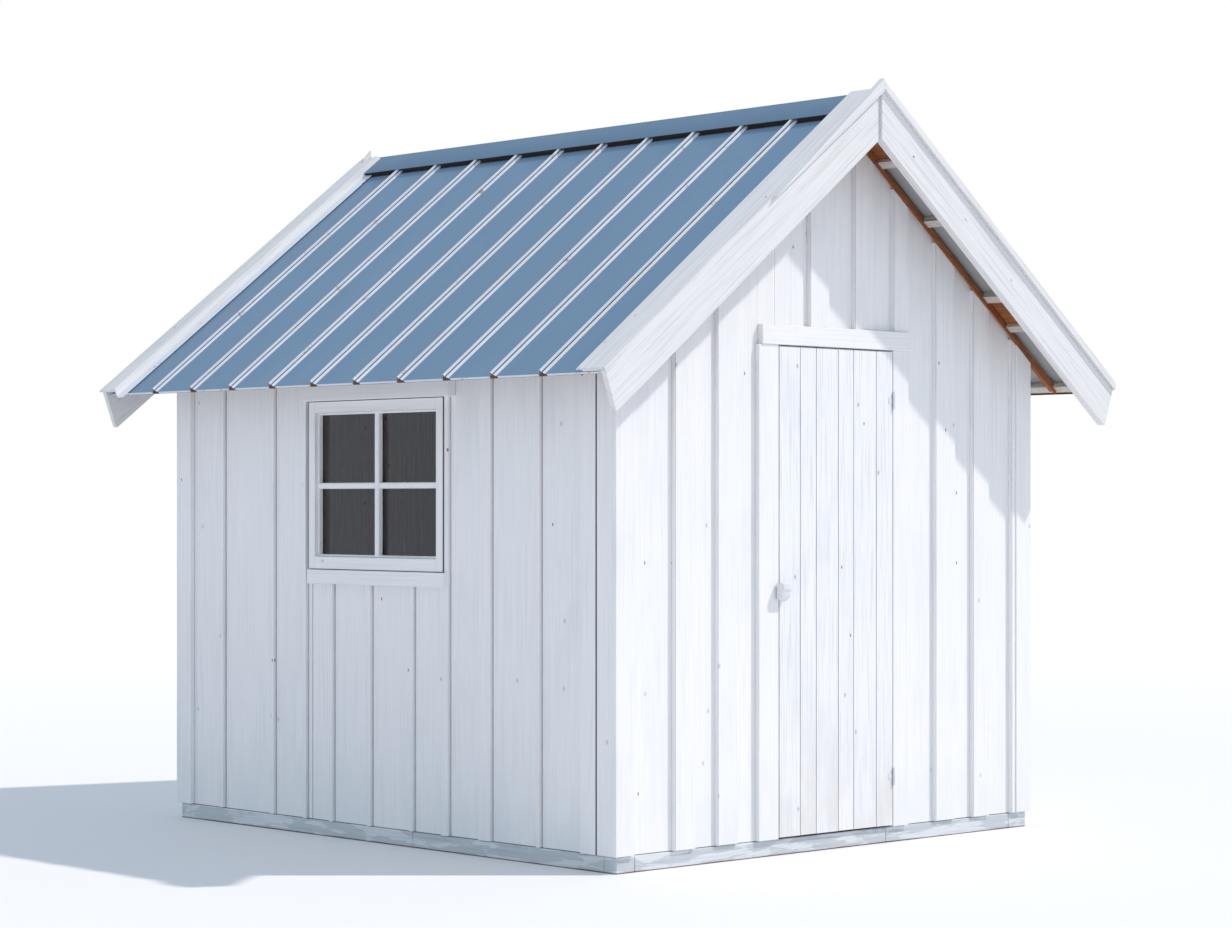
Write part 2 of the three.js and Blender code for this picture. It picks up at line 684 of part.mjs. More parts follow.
// Face of a barge board: mitred at the ridge, with a leaning cut at its foot.
function bargeOutline(side) {
  const topApex = ridgeZ + bargeAbovePan / slopeCos;
  const bottomApex = ridgeZ - BARGE_BELOW_PAN / slopeCos;
  const tipX = bargeEndX - BARGE_TIP_SETBACK;
  const tipZ = bottomApex - slopeTan * (tipX - BARGE_TIP_FLAT);
  const middle = FACE_GAP / 2;
  return [
    [middle, bottomApex - slopeTan * middle],
    [middle, topApex - slopeTan * middle],
    [bargeEndX, topApex - slopeTan * bargeEndX],
    [tipX, tipZ],
    [tipX - BARGE_TIP_FLAT, tipZ],
  ].map(([x, z]) => [side * x, z]);
}

function vergeCapOutline(side, thickness) {
  const bottomApex = ridgeZ + (bargeAbovePan + FACE_GAP) / slopeCos;
  const topApex = bottomApex + thickness / slopeCos;
  const middle = FACE_GAP / 2;
  return [
    [middle, bottomApex - slopeTan * middle],
    [bargeEndX, bottomApex - slopeTan * bargeEndX],
    [bargeEndX, topApex - slopeTan * bargeEndX],
    [middle, topApex - slopeTan * middle],
  ].map(([x, z]) => [side * x, z]);
}

function peakStripOutline() {
  const capTop = (bargeAbovePan + FACE_GAP + VERGE_CAP_FRONT_THICKNESS) / slopeCos;
  const apex = ridgeZ + capTop;
  const near = -FACE_GAP / 2;
  const far = -PEAK_STRIP_REACH;
  return [
    [near, apex + slopeTan * near - (VERGE_CAP_FRONT_THICKNESS + PEAK_STRIP_DROP) / slopeCos],
    [near, apex + slopeTan * near + PEAK_STRIP_RISE / slopeCos],
    [far, apex + slopeTan * far],
    [far, apex + slopeTan * far - 1.5],
  ];
}

function buildVerges() {
  const group = new THREE.Group();
  const frontCapLow = -halfLength - FRONT_OVERHANG - VERGE_CAP_PROUD;
  const backCapHigh = halfLength + BACK_OVERHANG + VERGE_CAP_PROUD;
  for (const [sideLabel, side] of [['left', -1], ['right', 1]]) {
    const barge = bargeOutline(side);
    const frontThickness = BARGE_THICKNESS + (side > 0 ? BARGE_STEP : 0);
    addMesh(group, `barge_board_front_${sideLabel}`,
      prismAlongY(barge, bargeInnerFront - frontThickness, bargeInnerFront), whitePaint);
    addMesh(group, `barge_board_back_${sideLabel}`,
      prismAlongY(barge, bargeInnerBack, bargeInnerBack + BARGE_THICKNESS), whitePaint);
    const frontCap = vergeCapOutline(side, VERGE_CAP_FRONT_THICKNESS);
    const capFace = side > 0
      ? frontCapLow + VERGE_STRIP_WIDTH + FACE_GAP
      : bargeInnerFront - frontThickness;
    addMesh(group, `verge_cap_front_${sideLabel}`,
      prismAlongY(frontCap, capFace, frontCapLow + VERGE_CAP_WIDTH), whitePaint);
    const strip = side > 0 ? vergeCapOutline(side, VERGE_STRIP_THICKNESS) : peakStripOutline();
    const stripBack = side > 0
      ? frontCapLow + VERGE_STRIP_WIDTH
      : bargeInnerFront - frontThickness - FACE_GAP;
    addMesh(group, `verge_strip_${sideLabel}`,
      prismAlongY(strip, frontCapLow, stripBack), whitePaint);
    const backCap = vergeCapOutline(side, VERGE_CAP_BACK_THICKNESS);
    addMesh(group, `verge_cap_back_${sideLabel}`,
      prismAlongY(backCap, backCapHigh - VERGE_CAP_WIDTH, backCapHigh), whitePaint);
  }
  return group;
}

// ---------------------------------------------------------------- assembly

const shed = new THREE.Group();
shed.name = 'garden_shed';
shed.add(
  buildBase(),
  buildFrontWall(),
  buildBackWall(),
  buildSideWalls(),
  buildCornerBoards(),
  buildDoorSurround(),
  buildHinges(),
  buildDoor(),
  buildWindow(),
  buildPurlins(),
  buildRoofSheets(),
  buildVerges(),
);

export default shed;
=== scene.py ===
"""Looks of the garden shed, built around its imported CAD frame.

Metres, +Z up. The door's gable faces -Y and the window's wall faces -X.
"""

import logging
import math
import random
from dataclasses import dataclass
from enum import Enum
from typing import Optional, Sequence, Union

import bmesh
import bpy
from mathutils import Matrix, Vector


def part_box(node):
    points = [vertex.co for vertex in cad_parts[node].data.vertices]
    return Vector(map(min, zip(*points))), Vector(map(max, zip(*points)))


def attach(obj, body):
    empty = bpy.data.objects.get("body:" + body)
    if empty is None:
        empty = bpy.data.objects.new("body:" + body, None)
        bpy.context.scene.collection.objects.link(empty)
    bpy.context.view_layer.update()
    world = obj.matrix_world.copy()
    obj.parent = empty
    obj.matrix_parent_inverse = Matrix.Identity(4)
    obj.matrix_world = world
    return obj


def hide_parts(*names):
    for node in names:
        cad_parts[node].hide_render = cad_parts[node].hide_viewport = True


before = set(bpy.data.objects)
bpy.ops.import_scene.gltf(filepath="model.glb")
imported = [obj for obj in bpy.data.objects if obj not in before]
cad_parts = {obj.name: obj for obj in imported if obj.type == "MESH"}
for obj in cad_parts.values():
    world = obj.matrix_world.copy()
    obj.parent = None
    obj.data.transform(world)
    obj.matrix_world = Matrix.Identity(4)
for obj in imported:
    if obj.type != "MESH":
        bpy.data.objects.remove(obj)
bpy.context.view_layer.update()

LOG = logging.getLogger("garden_shed")

MM = 0.001
PITCH = math.radians(37.7)
SLOPE_COS = math.cos(PITCH)
SLOPE_SIN = math.sin(PITCH)
SLOPE_TAN = math.tan(PITCH)

LEFT_FACE, FRONT_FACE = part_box("corner_board_front_left")[0][:2]
RIGHT_FACE, BACK_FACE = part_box("corner_board_back_right")[1][:2]
WALL_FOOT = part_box("back_wall")[0].z
RAISED = 22 * MM                 # raised boards in front of the recessed ones
CAP_ABOVE_PAN = 20.4 * MM        # ridge cap's top, square to the slope
RIDGE_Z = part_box("ridge_cap")[1].z - CAP_ABOVE_PAN / SLOPE_COS
EAVE_X = 1.429                   # roof sheet's lower edge from the ridge, in plan

Tree = bpy.types.NodeTree
Socket = bpy.types.NodeSocket
Material = bpy.types.Material
Piece = bpy.types.Object
Numbers = Sequence[float]
Plug = Union[float, Numbers, Socket]


# ------------------------------------------------------------------ node helpers


def linear(hex_code: str) -> tuple[float, float, float, float]:
    """Turns an sRGB hex colour into linear red, green, blue and alpha.

    Args:
        hex_code: Six hex digits, such as "F2F4FA".

    Returns:
        The four linear values.
    """
    channels = [int(hex_code[i:i + 2], 16) / 255 for i in (0, 2, 4)]
    values = [c / 12.92 if c <= 0.04045 else ((c + 0.055) / 1.055) ** 2.4 for c in channels]
    return values[0], values[1], values[2], 1.0


def add_node(
    tree: Tree,
    kind: str,
    settings: Optional[dict[str, object]] = None,
    plugs: Optional[dict[Union[str, int], Plug]] = None,
) -> bpy.types.Node:
    """Adds one node with its settings, values and links.

    Args:
        tree: Node tree to add to.
        kind: Node type name.
        settings: Attributes to set on the node.
        plugs: Input name or number to a value, or to an output socket to link.

    Returns:
        The new node.
    """
    node = tree.nodes.new(kind)
    for name, value in (settings or {}).items():
        setattr(node, name, value)
    for key, value in (plugs or {}).items():
        if isinstance(value, Socket):
            tree.links.new(value, node.inputs[key])
        else:
            node.inputs[key].default_value = value
    return node


def blend_colour(
    tree: Tree, share: Plug, first: Plug, second: Plug
) -> Socket:
    """Mixes two colours by share and returns the colour output."""
    settings = {"data_type": "RGBA", "clamp_factor": True}
    return add_node(tree, "ShaderNodeMix", settings, {0: share, 6: first, 7: second}).outputs[2]


def remap(
    tree: Tree, value: Plug, low: float, high: float, to_low: float, to_high: float
) -> Socket:
    """Maps one range to another with smooth ends.

    Args:
        tree: Node tree to add to.
        value: What is mapped.
        low: Value that becomes to_low.
        high: Value that becomes to_high.
        to_low: Result at low and beyond it.
        to_high: Result at high and beyond it.

    Returns:
        The mapped output.
    """
    settings = {"interpolation_type": "SMOOTHSTEP"}
    plugs = {"Value": value, 1: low, 2: high, 3: to_low, 4: to_high}
    return add_node(tree, "ShaderNodeMapRange", settings, plugs).outputs[0]


def calculate(
    tree: Tree, operation: str, first: Plug, second: Plug = 0.0
) -> Socket:
    """Runs one math node and returns its output."""
    plugs = {0: first, 1: second}
    return add_node(tree, "ShaderNodeMath", {"operation": operation}, plugs).outputs[0]


def object_place(tree: Tree) -> Socket:
    """Returns the place on the object, in metres."""
    return add_node(tree, "ShaderNodeTexCoord").outputs["Object"]


def noise(
    tree: Tree, vector: Socket, scale: float, detail: float,
    rough: float = 0.5, dimensions: str = "3D",
) -> Socket:
    """Adds a noise.

    Args:
        tree: Node tree to add to.
        vector: Where it is read.
        scale: Its waves in a unit of the vector.
        detail: How many finer layers it has.
        rough: Strength of each finer layer.
        dimensions: "2D" or "3D".

    Returns:
        The noise's value.
    """
    plugs = {"Vector": vector, "Scale": scale, "Detail": detail, "Roughness": rough}
    return add_node(tree, "ShaderNodeTexNoise", {"noise_dimensions": dimensions}, plugs).outputs[0]


def set_surface(
    tree: Tree, shader: bpy.types.Node, values: dict[str, Plug],
    relief: Plug, distance: float, strength: float,
) -> None:
    """Sets or links the shader's inputs and gives it a relief.

    Args:
        tree: The material's node tree.
        shader: Its Principled shader.
        values: Input name to a value or an output socket.
        relief: Height of the relief.
        distance: Real height of the relief in metres.
        strength: Strength of the relief.
    """
    plugs = {"Height": relief, "Distance": distance, "Strength": strength}
    values = {**values, "Normal": add_node(tree, "ShaderNodeBump", None, plugs).outputs[0]}
    for key, value in values.items():
        if isinstance(value, Socket):
            tree.links.new(value, shader.inputs[key])
        else:
            shader.inputs[key].default_value = value


# ------------------------------------------------------------------ finishes


class Grain(Enum):
    """Direction of a board's grain, as the turn that brings it upright."""

    UPRIGHT = (0.0, 0.0, 0.0)
    ALONG_X = (0.0, -math.pi / 2, 0.0)
    ALONG_Y = (math.pi / 2, 0.0, 0.0)
    LEFT_SLOPE = (0.0, PITCH - math.pi / 2, 0.0)
    RIGHT_SLOPE = (0.0, math.pi / 2 - PITCH, 0.0)


@dataclass(frozen=True)
class WoodPattern:
    """Sockets that a timber finish draws from."""

    streaks: Socket
    fibres: Socket
    blotches: Socket
    knots: Socket
    pins: Socket
    tone: Socket
    height: Socket


def start_material(name: str) -> tuple[Material, Tree, bpy.types.Node]:
    """Makes a material that holds only a Principled shader and its output.

    Args:
        name: Material name.

    Returns:
        The material, its node tree and the shader node.
    """
    material = bpy.data.materials.new(name)
    material.use_nodes = True
    tree = material.node_tree
    tree.nodes.clear()
    shader = add_node(tree, "ShaderNodeBsdfPrincipled")
    add_node(tree, "ShaderNodeOutputMaterial", None, {"Surface": shader.outputs[0]})
    return material, tree, shader


def wood_pattern(tree: Tree, grain: Grain, ring_mm: float) -> WoodPattern:
    """Draws the grain, knots and blotches of sawn softwood.

    Args:
        tree: Node tree to add to.
        grain: Direction of the grain.
        ring_mm: Spacing of the growth rings on the face, in millimetres.

    Returns:
        The pattern's sockets.
    """
    place = object_place(tree)
    height = add_node(tree, "ShaderNodeSeparateXYZ", None, {0: place}).outputs["Z"]
    tone = add_node(tree, "ShaderNodeAttribute", {"attribute_name": "board_tone"}).outputs["Fac"]
    turned = add_node(tree, "ShaderNodeMapping", None,
                      {"Vector": place, "Rotation": grain.value}).outputs[0]
    # Each board is cut from its own stretch of tree, so its pattern is moved by its tone.
    stretch = add_node(tree, "ShaderNodeVectorMath", {"operation": "SCALE"},
                       {0: (31.0, 17.0, 43.0), "Scale": tone}).outputs[0]
    moved = add_node(tree, "ShaderNodeVectorMath", {"operation": "ADD"},
                     {0: turned, 1: stretch}).outputs[0]
    parts = add_node(tree, "ShaderNodeSeparateXYZ", None, {0: moved})
    across = calculate(tree, "ADD", parts.outputs["X"], parts.outputs["Y"])
    along = parts.outputs["Z"]

    def flat(across_per_m: float, along_per_m: float) -> Socket:
        """Scales the plane of the board's face.

        Args:
            across_per_m: Units in a metre across the grain.
            along_per_m: Units in a metre along it.

        Returns:
            The scaled vector.
        """
        return add_node(tree, "ShaderNodeCombineXYZ", None, {
            "X": calculate(tree, "MULTIPLY", across, across_per_m),
            "Y": calculate(tree, "MULTIPLY", along, along_per_m),
        }).outputs[0]

    def spots(
        vector: Socket, channel: int, share_empty: float, core: float, rim: float
    ) -> Socket:
        """Draws round spots, one at most in each cell.

        Args:
            vector: Plane vector whose units are the cells.
            channel: Which random channel of the cell decides whether it holds a spot.
            share_empty: Share of the cells that stay empty.
            core: Radius of the full spot, in cells.
            rim: Radius where the spot has faded out, in cells.

        Returns:
            The spots' strength.
        """
        cells = add_node(tree, "ShaderNodeTexVoronoi", {"voronoi_dimensions": "2D"},
                         {"Vector": vector, "Scale": 1.0})
        draws = add_node(tree, "ShaderNodeSeparateColor", None, {0: cells.outputs["Color"]})
        there = calculate(tree, "GREATER_THAN", draws.outputs[channel], share_empty)
        return calculate(tree, "MULTIPLY", there,
                         remap(tree, cells.outputs["Distance"], core, rim, 1.0, 0.0))

    # Rings show as streaks 55 times as long as they are wide, fibres as hairs a third as wide.
    rings_per_m = 1000 / ring_mm
    streaks = noise(tree, flat(rings_per_m, rings_per_m / 55), 1.0, 3.0, 0.6, "2D")
    fibres = noise(tree, flat(rings_per_m * 3.2, rings_per_m / 9), 1.0, 2.0, 0.6, "2D")
    blotches = noise(tree, flat(5.0, 2.2), 1.0, 3.0, 0.6, "2D")
    # Knots sit in cells of 190 by 290 mm, pin knots and nail holes in cells of 140 by 290 mm.
    knots = spots(flat(5.2, 3.4), 0, 0.78, 0.005, 0.05)
    pins = spots(flat(7.0, 3.5), 1, 0.9, 0.016, 0.03)
    return WoodPattern(streaks, fibres, blotches, knots, pins, tone, height)


@dataclass(frozen=True)
class PaintedTimber:
    """Opaque outdoor paint on sawn softwood: the grain and knots still show faintly through."""

    name: str
    paint: str                   # where the coat is full
    thin_paint: str              # where the grain stands through it
    knot: str                    # resin bleeding through over knots
    foot_tint: str                  # colour that the lowest part takes
    pin: str = "857467"          # pin knots and nail holes
    thin_share: float = 0.55
    knot_share: float = 0.5
    foot_tint_full: float = 0.05
    foot_tint_fade: float = 0.45
    ring_mm: float = 9.0
    roughness: float = 0.6
    bump_mm: float = 0.5

    def build(self, grain: Grain) -> Material:
        """Makes the material for boards whose grain runs one way.

        Args:
            grain: Direction of the grain.

        Returns:
            The material.
        """
        material, tree, shader = start_material(f"{self.name}_{grain.name.lower()}")
        wood = wood_pattern(tree, grain, self.ring_mm)
        thin = remap(tree, wood.streaks, 0.42, 0.72, 0.0, self.thin_share)
        colour = blend_colour(tree, thin, linear(self.paint), linear(self.thin_paint))
        fibre = remap(tree, wood.fibres, 0.5, 0.85, 0.0, self.thin_share * 0.4)
        colour = blend_colour(tree, fibre, colour, linear(self.thin_paint))
        blotches = remap(tree, wood.blotches, 0.45, 0.75, 0.0, 0.35)
        worn = calculate(tree, "MULTIPLY", blotches, wood.tone)
        colour = blend_colour(tree, worn, colour, linear(self.thin_paint))
        knots = calculate(tree, "MULTIPLY", wood.knots, self.knot_share)
        colour = blend_colour(tree, knots, colour, linear(self.knot))
        colour = blend_colour(tree, wood.pins, colour, linear(self.pin))
        # Darker towards the bottom: blends into foot_tint up to foot_tint_fade, in blotches.
        low = remap(tree, wood.height, self.foot_tint_full, self.foot_tint_fade, 1.0, 0.0)
        foot_tint = calculate(tree, "MULTIPLY", low, remap(tree, wood.blotches, 0.3, 0.7, 0.1, 0.9))
        colour = blend_colour(tree, foot_tint, colour, linear(self.foot_tint))
        gloss = remap(tree, wood.streaks, 0.3, 0.7, self.roughness - 0.06, self.roughness + 0.1)
        hairs = calculate(tree, "MULTIPLY", wood.fibres, 0.5)
        relief = calculate(tree, "ADD", wood.streaks, hairs)
        relief = calculate(tree, "SUBTRACT", relief, wood.knots)
        set_surface(tree, shader, {"Base Color": colour, "Roughness": gloss, "IOR": 1.47},
                    relief, self.bump_mm * MM, 0.7)
        return material


@dataclass(frozen=True)
class PatchyPaint:
    """Thin grey-blue paint brushed over with white in places, soaked brown along its foot."""

    name: str
    paint: str
    patch: str
    soaked: str
    weathered: str = "8C97A6"    # along the rings
    patch_share: float = 0.8
    ring_mm: float = 7.0
    foot_height: float = 0.0095  # how high the brown edge reaches
    roughness: float = 0.75

    def build(self, grain: Grain) -> Material:
        """Makes the material for timbers whose grain runs one way.

        Args:
            grain: Direction of the grain.

        Returns:
            The material.
        """
        material, tree, shader = start_material(f"{self.name}_{grain.name.lower()}")
        wood = wood_pattern(tree, grain, self.ring_mm)
        place = object_place(tree)
        # Brush strokes are about 220 mm long and 40 mm high.
        strokes = add_node(tree, "ShaderNodeMapping", None,
                           {"Vector": place, "Scale": (4.5, 4.5, 26.0)}).outputs[0]
        brush = noise(tree, strokes, 1.0, 3.0, 0.55)
        patches = remap(tree, brush, 0.5, 0.55, 0.0, self.patch_share)
        colour = blend_colour(tree, patches, linear(self.paint), linear(self.patch))
        colour = blend_colour(tree, remap(tree, wood.streaks, 0.45, 0.75, 0.0, 0.35), colour,
                              linear(self.weathered))
        ragged = calculate(tree, "ADD", wood.height, calculate(tree, "MULTIPLY", brush, 6 * MM))
        foot = remap(tree, ragged, 5 * MM, self.foot_height, 1.0, 0.0)
        colour = blend_colour(tree, foot, colour, linear(self.soaked))
        values = {"Base Color": colour, "Roughness": self.roughness, "IOR": 1.47}
        relief = calculate(tree, "ADD", wood.streaks, patches)
        set_surface(tree, shader, values, relief, 0.6 * MM, 0.8)
        return material


@dataclass(frozen=True)
class BareTimber:
    """Unpainted softwood, oiled or gone dark: strong grain, brown knots, no sheen."""

    name: str
    light: str
    dark: str
    knot: str = "2E1A12"
    ring_mm: float = 7.0
    roughness: float = 0.8

    def build(self, grain: Grain) -> Material:
        """Makes the material for timbers whose grain runs one way.

        Args:
            grain: Direction of the grain.

        Returns:
            The material.
        """
        material, tree, shader = start_material(f"{self.name}_{grain.name.lower()}")
        wood = wood_pattern(tree, grain, self.ring_mm)
        hairs = remap(tree, wood.fibres, 0.2, 0.8, 0.7, 1.3)
        share = calculate(tree, "MULTIPLY", wood.streaks, hairs)
        colour = blend_colour(tree, remap(tree, share, 0.3, 0.75, 0.0, 1.0),
                              linear(self.light), linear(self.dark))
        aged = calculate(tree, "MULTIPLY", wood.tone, 0.35)
        colour = blend_colour(tree, aged, colour, linear(self.dark))
        colour = blend_colour(tree, wood.knots, colour, linear(self.knot))
        values = {"Base Color": colour, "Roughness": self.roughness, "IOR": 1.5}
        set_surface(tree, shader, values, wood.streaks, 0.7 * MM, 0.8)
        return material


@dataclass(frozen=True)
class CoatedSteel:
    """Rolled steel sheet with a satin colour coat: even, with dust films and faint streaks."""

    name: str
    coat: str
    dust: str
    rust: str
    rust_share: float = 0.0
    roughness: float = 0.38

    def build(self) -> Material:
        """Makes the material.

        Returns:
            The material.
        """
        material, tree, shader = start_material(self.name)
        place = object_place(tree)
        # Dust lies in films about 0.6 m across.
        films = noise(tree, place, 1.7, 4.0, 0.55)
        # Rain streaks run down the slope, 30 mm apart.
        streak_place = add_node(tree, "ShaderNodeMapping", None,
                                {"Vector": place, "Scale": (0.9, 33.0, 0.9)}).outputs[0]
        streaks = noise(tree, streak_place, 1.0, 2.0)
        colour = blend_colour(tree, remap(tree, films, 0.35, 0.75, 0.0, 0.22),
                              linear(self.coat), linear(self.dust))
        colour = blend_colour(tree, remap(tree, streaks, 0.5, 0.8, 0.0, 0.14), colour,
                              linear(self.dust))
        # Rust breaks out in spots about 110 mm apart, larger where rust_share is.
        spots = noise(tree, place, 9.0, 5.0, 0.7)
        edge = 0.66 - self.rust_share * 0.3
        rust = remap(tree, spots, edge, edge + 0.08, 0.0, 1.0)
        rust = calculate(tree, "MULTIPLY", rust, min(1.0, self.rust_share * 4))
        colour = blend_colour(tree, rust, colour, linear(self.rust))
        gloss = remap(tree, films, 0.3, 0.7, self.roughness, self.roughness + 0.14)
        values = {"Base Color": colour, "Roughness": gloss}
        set_surface(tree, shader, values, films, 1.2 * MM, 0.25)
        return material


@dataclass(frozen=True)
class FloatGlass:
    """Clear float glass, 4 mm, with a faint film of dust on its outer face."""

    name: str = "float_glass"
    tint: str = "F4F8F8"

    def build(self) -> Material:
        """Makes the material.

        Returns:
            The material.
        """
        material, tree, shader = start_material(self.name)
        film = noise(tree, object_place(tree), 6.0, 4.0)
        tree.links.new(remap(tree, film, 0.4, 0.8, 0.01, 0.06), shader.inputs["Roughness"])
        shader.inputs["Base Color"].default_value = linear(self.tint)
        shader.inputs["IOR"].default_value = 1.5
        shader.inputs["Transmission Weight"].default_value = 1.0
        # The dust film dulls and warms what the pane mirrors.
        shader.inputs["Specular IOR Level"].default_value = 0.3
        shader.inputs["Specular Tint"].default_value = linear("FFEAE6")
        return material


@dataclass(frozen=True)
class Floor:
    """Plain pale matt floor of the studio, whiter further out."""

    name: str = "studio_floor"
    near: str = "ECEAEC"
    far: str = "F6F2F3"

    def build(self) -> Material:
        """Makes the material.

        Returns:
            The material.
        """
        material, tree, shader = start_material(self.name)
        place = object_place(tree)
        reach = add_node(tree, "ShaderNodeVectorMath", {"operation": "LENGTH"},
                         {0: place}).outputs["Value"]
        colour = blend_colour(tree, remap(tree, reach, 3.0, 16.0, 0.0, 1.0),
                              linear(self.near), linear(self.far))
        tree.links.new(colour, shader.inputs["Base Color"])
        shader.inputs["Roughness"].default_value = 0.9
        return material


# Acrylic outdoor paint on sawn pine, matt and even, with the grain just standing through.
WHITE_PAINT = PaintedTimber("white_paint", "F2F0F0", "DBDDDF", "A1988F", "E6E8EA",
                           thin_share=0.36)
# The same paint on the verges, which take the rain: greyer, with more of the grain.
VERGE_PAINT = PaintedTimber("verge_paint", "E5E3E3", "CDCCCB", "A09A98", "DDDBDA", thin_share=0.7)
# An older, thinner coat on planed door boards: streaky, with knots bleeding through.
DOOR_PAINT = PaintedTimber("worn_white_paint", "F0F0F2", "D0D1D4", "95908E", "DDDBD9",
                           thin_share=0.58, knot_share=0.7, foot_tint_fade=0.8, ring_mm=7.0)
# Thinned primer on ground timbers: dull grey-blue with brushed-over white patches.
BASE_PAINT = PatchyPaint("thin_grey_paint", "C2C8CC", "E2E5E8", "6E4A30", patch_share=0.7)
# Lime-washed spruce battens: warm off-white, chalky.
WHITEWASH = BareTimber("whitewashed_timber", "DAD5CE", "B2A79C")
# Oiled sawn pine that has never been painted: orange brown, rough.
BROWN_TIMBER = BareTimber("brown_timber", "B4713F", "7E4322")
DARK_TIMBER = BareTimber("dark_timber", "A8683A", "6E3C1C")
# Near-black strips in narrow joints, in gaps and under the ridge cap: painted shade, so a dark
# line.
PAINTED_SHADE_STRIP = BareTimber("painted_shade_strip", "2E1D19", "1E1210")
# Pink-brown lining boards, dim through the window.
LINING_TIMBER = BareTimber("lining_timber", "C89888", "98695C", ring_mm=9.0)
# Polyester coil-coated steel sheet, satin: slate blue pans, darker cap, painted highlight on
# seams.
ROOF_COAT = CoatedSteel("slate_blue_coat", "6485A2", "8096AA", "8A6A58", rust_share=0.02)
RIDGE_COAT = CoatedSteel("ridge_blue_coat", "5C7B97", "6F859C", "8A6A58")
# Pale blue on the seams' far sides: a painted highlight.
SEAM_SIDE_HIGHLIGHT = CoatedSteel("seam_side_painted_highlight", "A9BFD6", "B9C6D2", "8A6A58")
# Seams: painted shade in the slot; raised steel near white, partly painted highlight; first rust.
SLOT_PAINTED_SHADE = CoatedSteel("seam_slot_painted_shade", "453E3B", "352C29", "6A4A3A", rust_share=0.25,
                         roughness=0.7)
# Near white on the seams, the eave lip and the roll's outer band: a pale coat, partly a painted
# highlight.
SEAM_STEEL_AND_HIGHLIGHT = CoatedSteel("seam_steel_painted_highlight", "D9DEE6", "B9B4B4", "8B5B45", rust_share=0.16,
                         roughness=0.3)
# Thin grey primer on the sheets' undersides.
BACKING_COAT = CoatedSteel("grey_backing_coat", "A9ABAA", "8F8F8A", "7A6A60", roughness=0.55)
# Cut steel ends that rust freely: dark brown, matt.
RUSTY_STEEL = CoatedSteel("rusty_steel", "5E4436", "443028", "7E5238", rust_share=0.4,
                          roughness=0.8)
# Steel fittings under the same white paint as the boards.
HARDWARE_PAINT = CoatedSteel("painted_hardware", "E2E3E7", "BFC4CC", "8A6A58", rust_share=0.05)


# ------------------------------------------------------------------ modelling helpers


def leave_edit_mode() -> None:
    """Goes back to object mode with nothing selected."""
    if bpy.context.mode != "OBJECT":
        bpy.ops.object.mode_set(mode="OBJECT")
    bpy.ops.object.select_all(action="DESELECT")


def take_up(piece: Piece) -> None:
    """Makes a piece the one active and selected object.

    Args:
        piece: The piece.
    """
    leave_edit_mode()
    piece.select_set(True)
    bpy.context.view_layer.objects.active = piece


def apply_modifier(piece: Piece, kind: str, **settings: object) -> None:
    """Adds one modifier with its settings and applies it.

    Args:
        piece: Object to change.
        kind: Modifier type, such as "BEVEL".
        settings: Attributes of the modifier.
    """
    take_up(piece)
    modifier = piece.modifiers.new(kind.lower(), kind)
    for name, value in settings.items():
        setattr(modifier, name, value)
    bpy.ops.object.modifier_apply(modifier=modifier.name)


def soften(piece: Piece, width: float, segments: int = 2) -> None:
    """Rounds the arrises of a piece.

    Args:
        piece: Object to change.
        width: Width of the rounding.
        segments: Faces across the rounding.
    """
    apply_modifier(piece, "BEVEL", width=width, segments=segments, limit_method="ANGLE",
                   angle_limit=math.radians(30), use_clamp_overlap=False)


def smooth(piece: Piece, degrees: float = 40.0) -> None:
    """Shades a piece smooth over its gentle edges.

    Args:
        piece: Object to change.
        degrees: Largest turn that still counts as gentle.
    """
    take_up(piece)
    bpy.ops.object.shade_smooth_by_angle(angle=math.radians(degrees))


def set_tone(piece: Piece, value: float) -> None:
    """Gives every face of a piece one board tone.

    Args:
        piece: Object to change.
        value: Tone from 0 to 1.
    """
    layer = piece.data.attributes.get("board_tone")
    if layer is None:
        layer = piece.data.attributes.new("board_tone", "FLOAT", "FACE")
    layer.data.foreach_set("value", [value] * len(piece.data.polygons))


def dress(
    piece: Piece,
    materials: Union[Material, Sequence[Material]],
    body: str = "root",
    replaced: Sequence[str] = (),
) -> Piece:
    """Gives a finished piece its materials and body, hides what it replaces, and reports it.

    Args:
        piece: The finished piece.
        materials: One material, or several in the order of the faces' indices.
        body: CAD body that the piece moves with.
        replaced: CAD nodes that the piece stands for.

    Returns:
        The piece.
    """
    leave_edit_mode()
    keep = [f.material_index for f in piece.data.polygons]
    piece.data.materials.clear()
    for material in [materials] if isinstance(materials, Material) else materials:
        piece.data.materials.append(material)
    piece.data.polygons.foreach_set("material_index", keep)
    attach(piece, body)
    if replaced:
        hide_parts(*replaced)
    LOG.info("%s: %d faces, rides on %s", piece.name, len(piece.data.polygons), body)
    return piece


def eased_copy(node: str, name: str, width: float) -> Piece:
    """Copies a CAD node's mesh, merges it and rounds its arrises.

    Args:
        node: CAD node to copy.
        name: Name of the new piece.
        width: Width of the rounding.

    Returns:
        The new piece, with its own mesh.
    """
    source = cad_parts[node]
    piece = bpy.data.objects.new(name, source.data.copy())
    piece.data.name = name
    bpy.context.scene.collection.objects.link(piece)
    take_up(piece)
    bpy.ops.object.mode_set(mode="EDIT")
    bpy.ops.mesh.select_all(action="SELECT")
    bpy.ops.mesh.remove_doubles(threshold=0.05 * MM)
    bpy.ops.mesh.dissolve_limited(angle_limit=math.radians(1))
    leave_edit_mode()
    if piece.data.has_custom_normals:
        take_up(piece)
        bpy.ops.mesh.customdata_custom_splitnormals_clear()
    piece.data.polygons.foreach_set("material_index", [0] * len(piece.data.polygons))
    soften(piece, width)
    for face in piece.data.polygons:
        face.use_smooth = False
    return piece


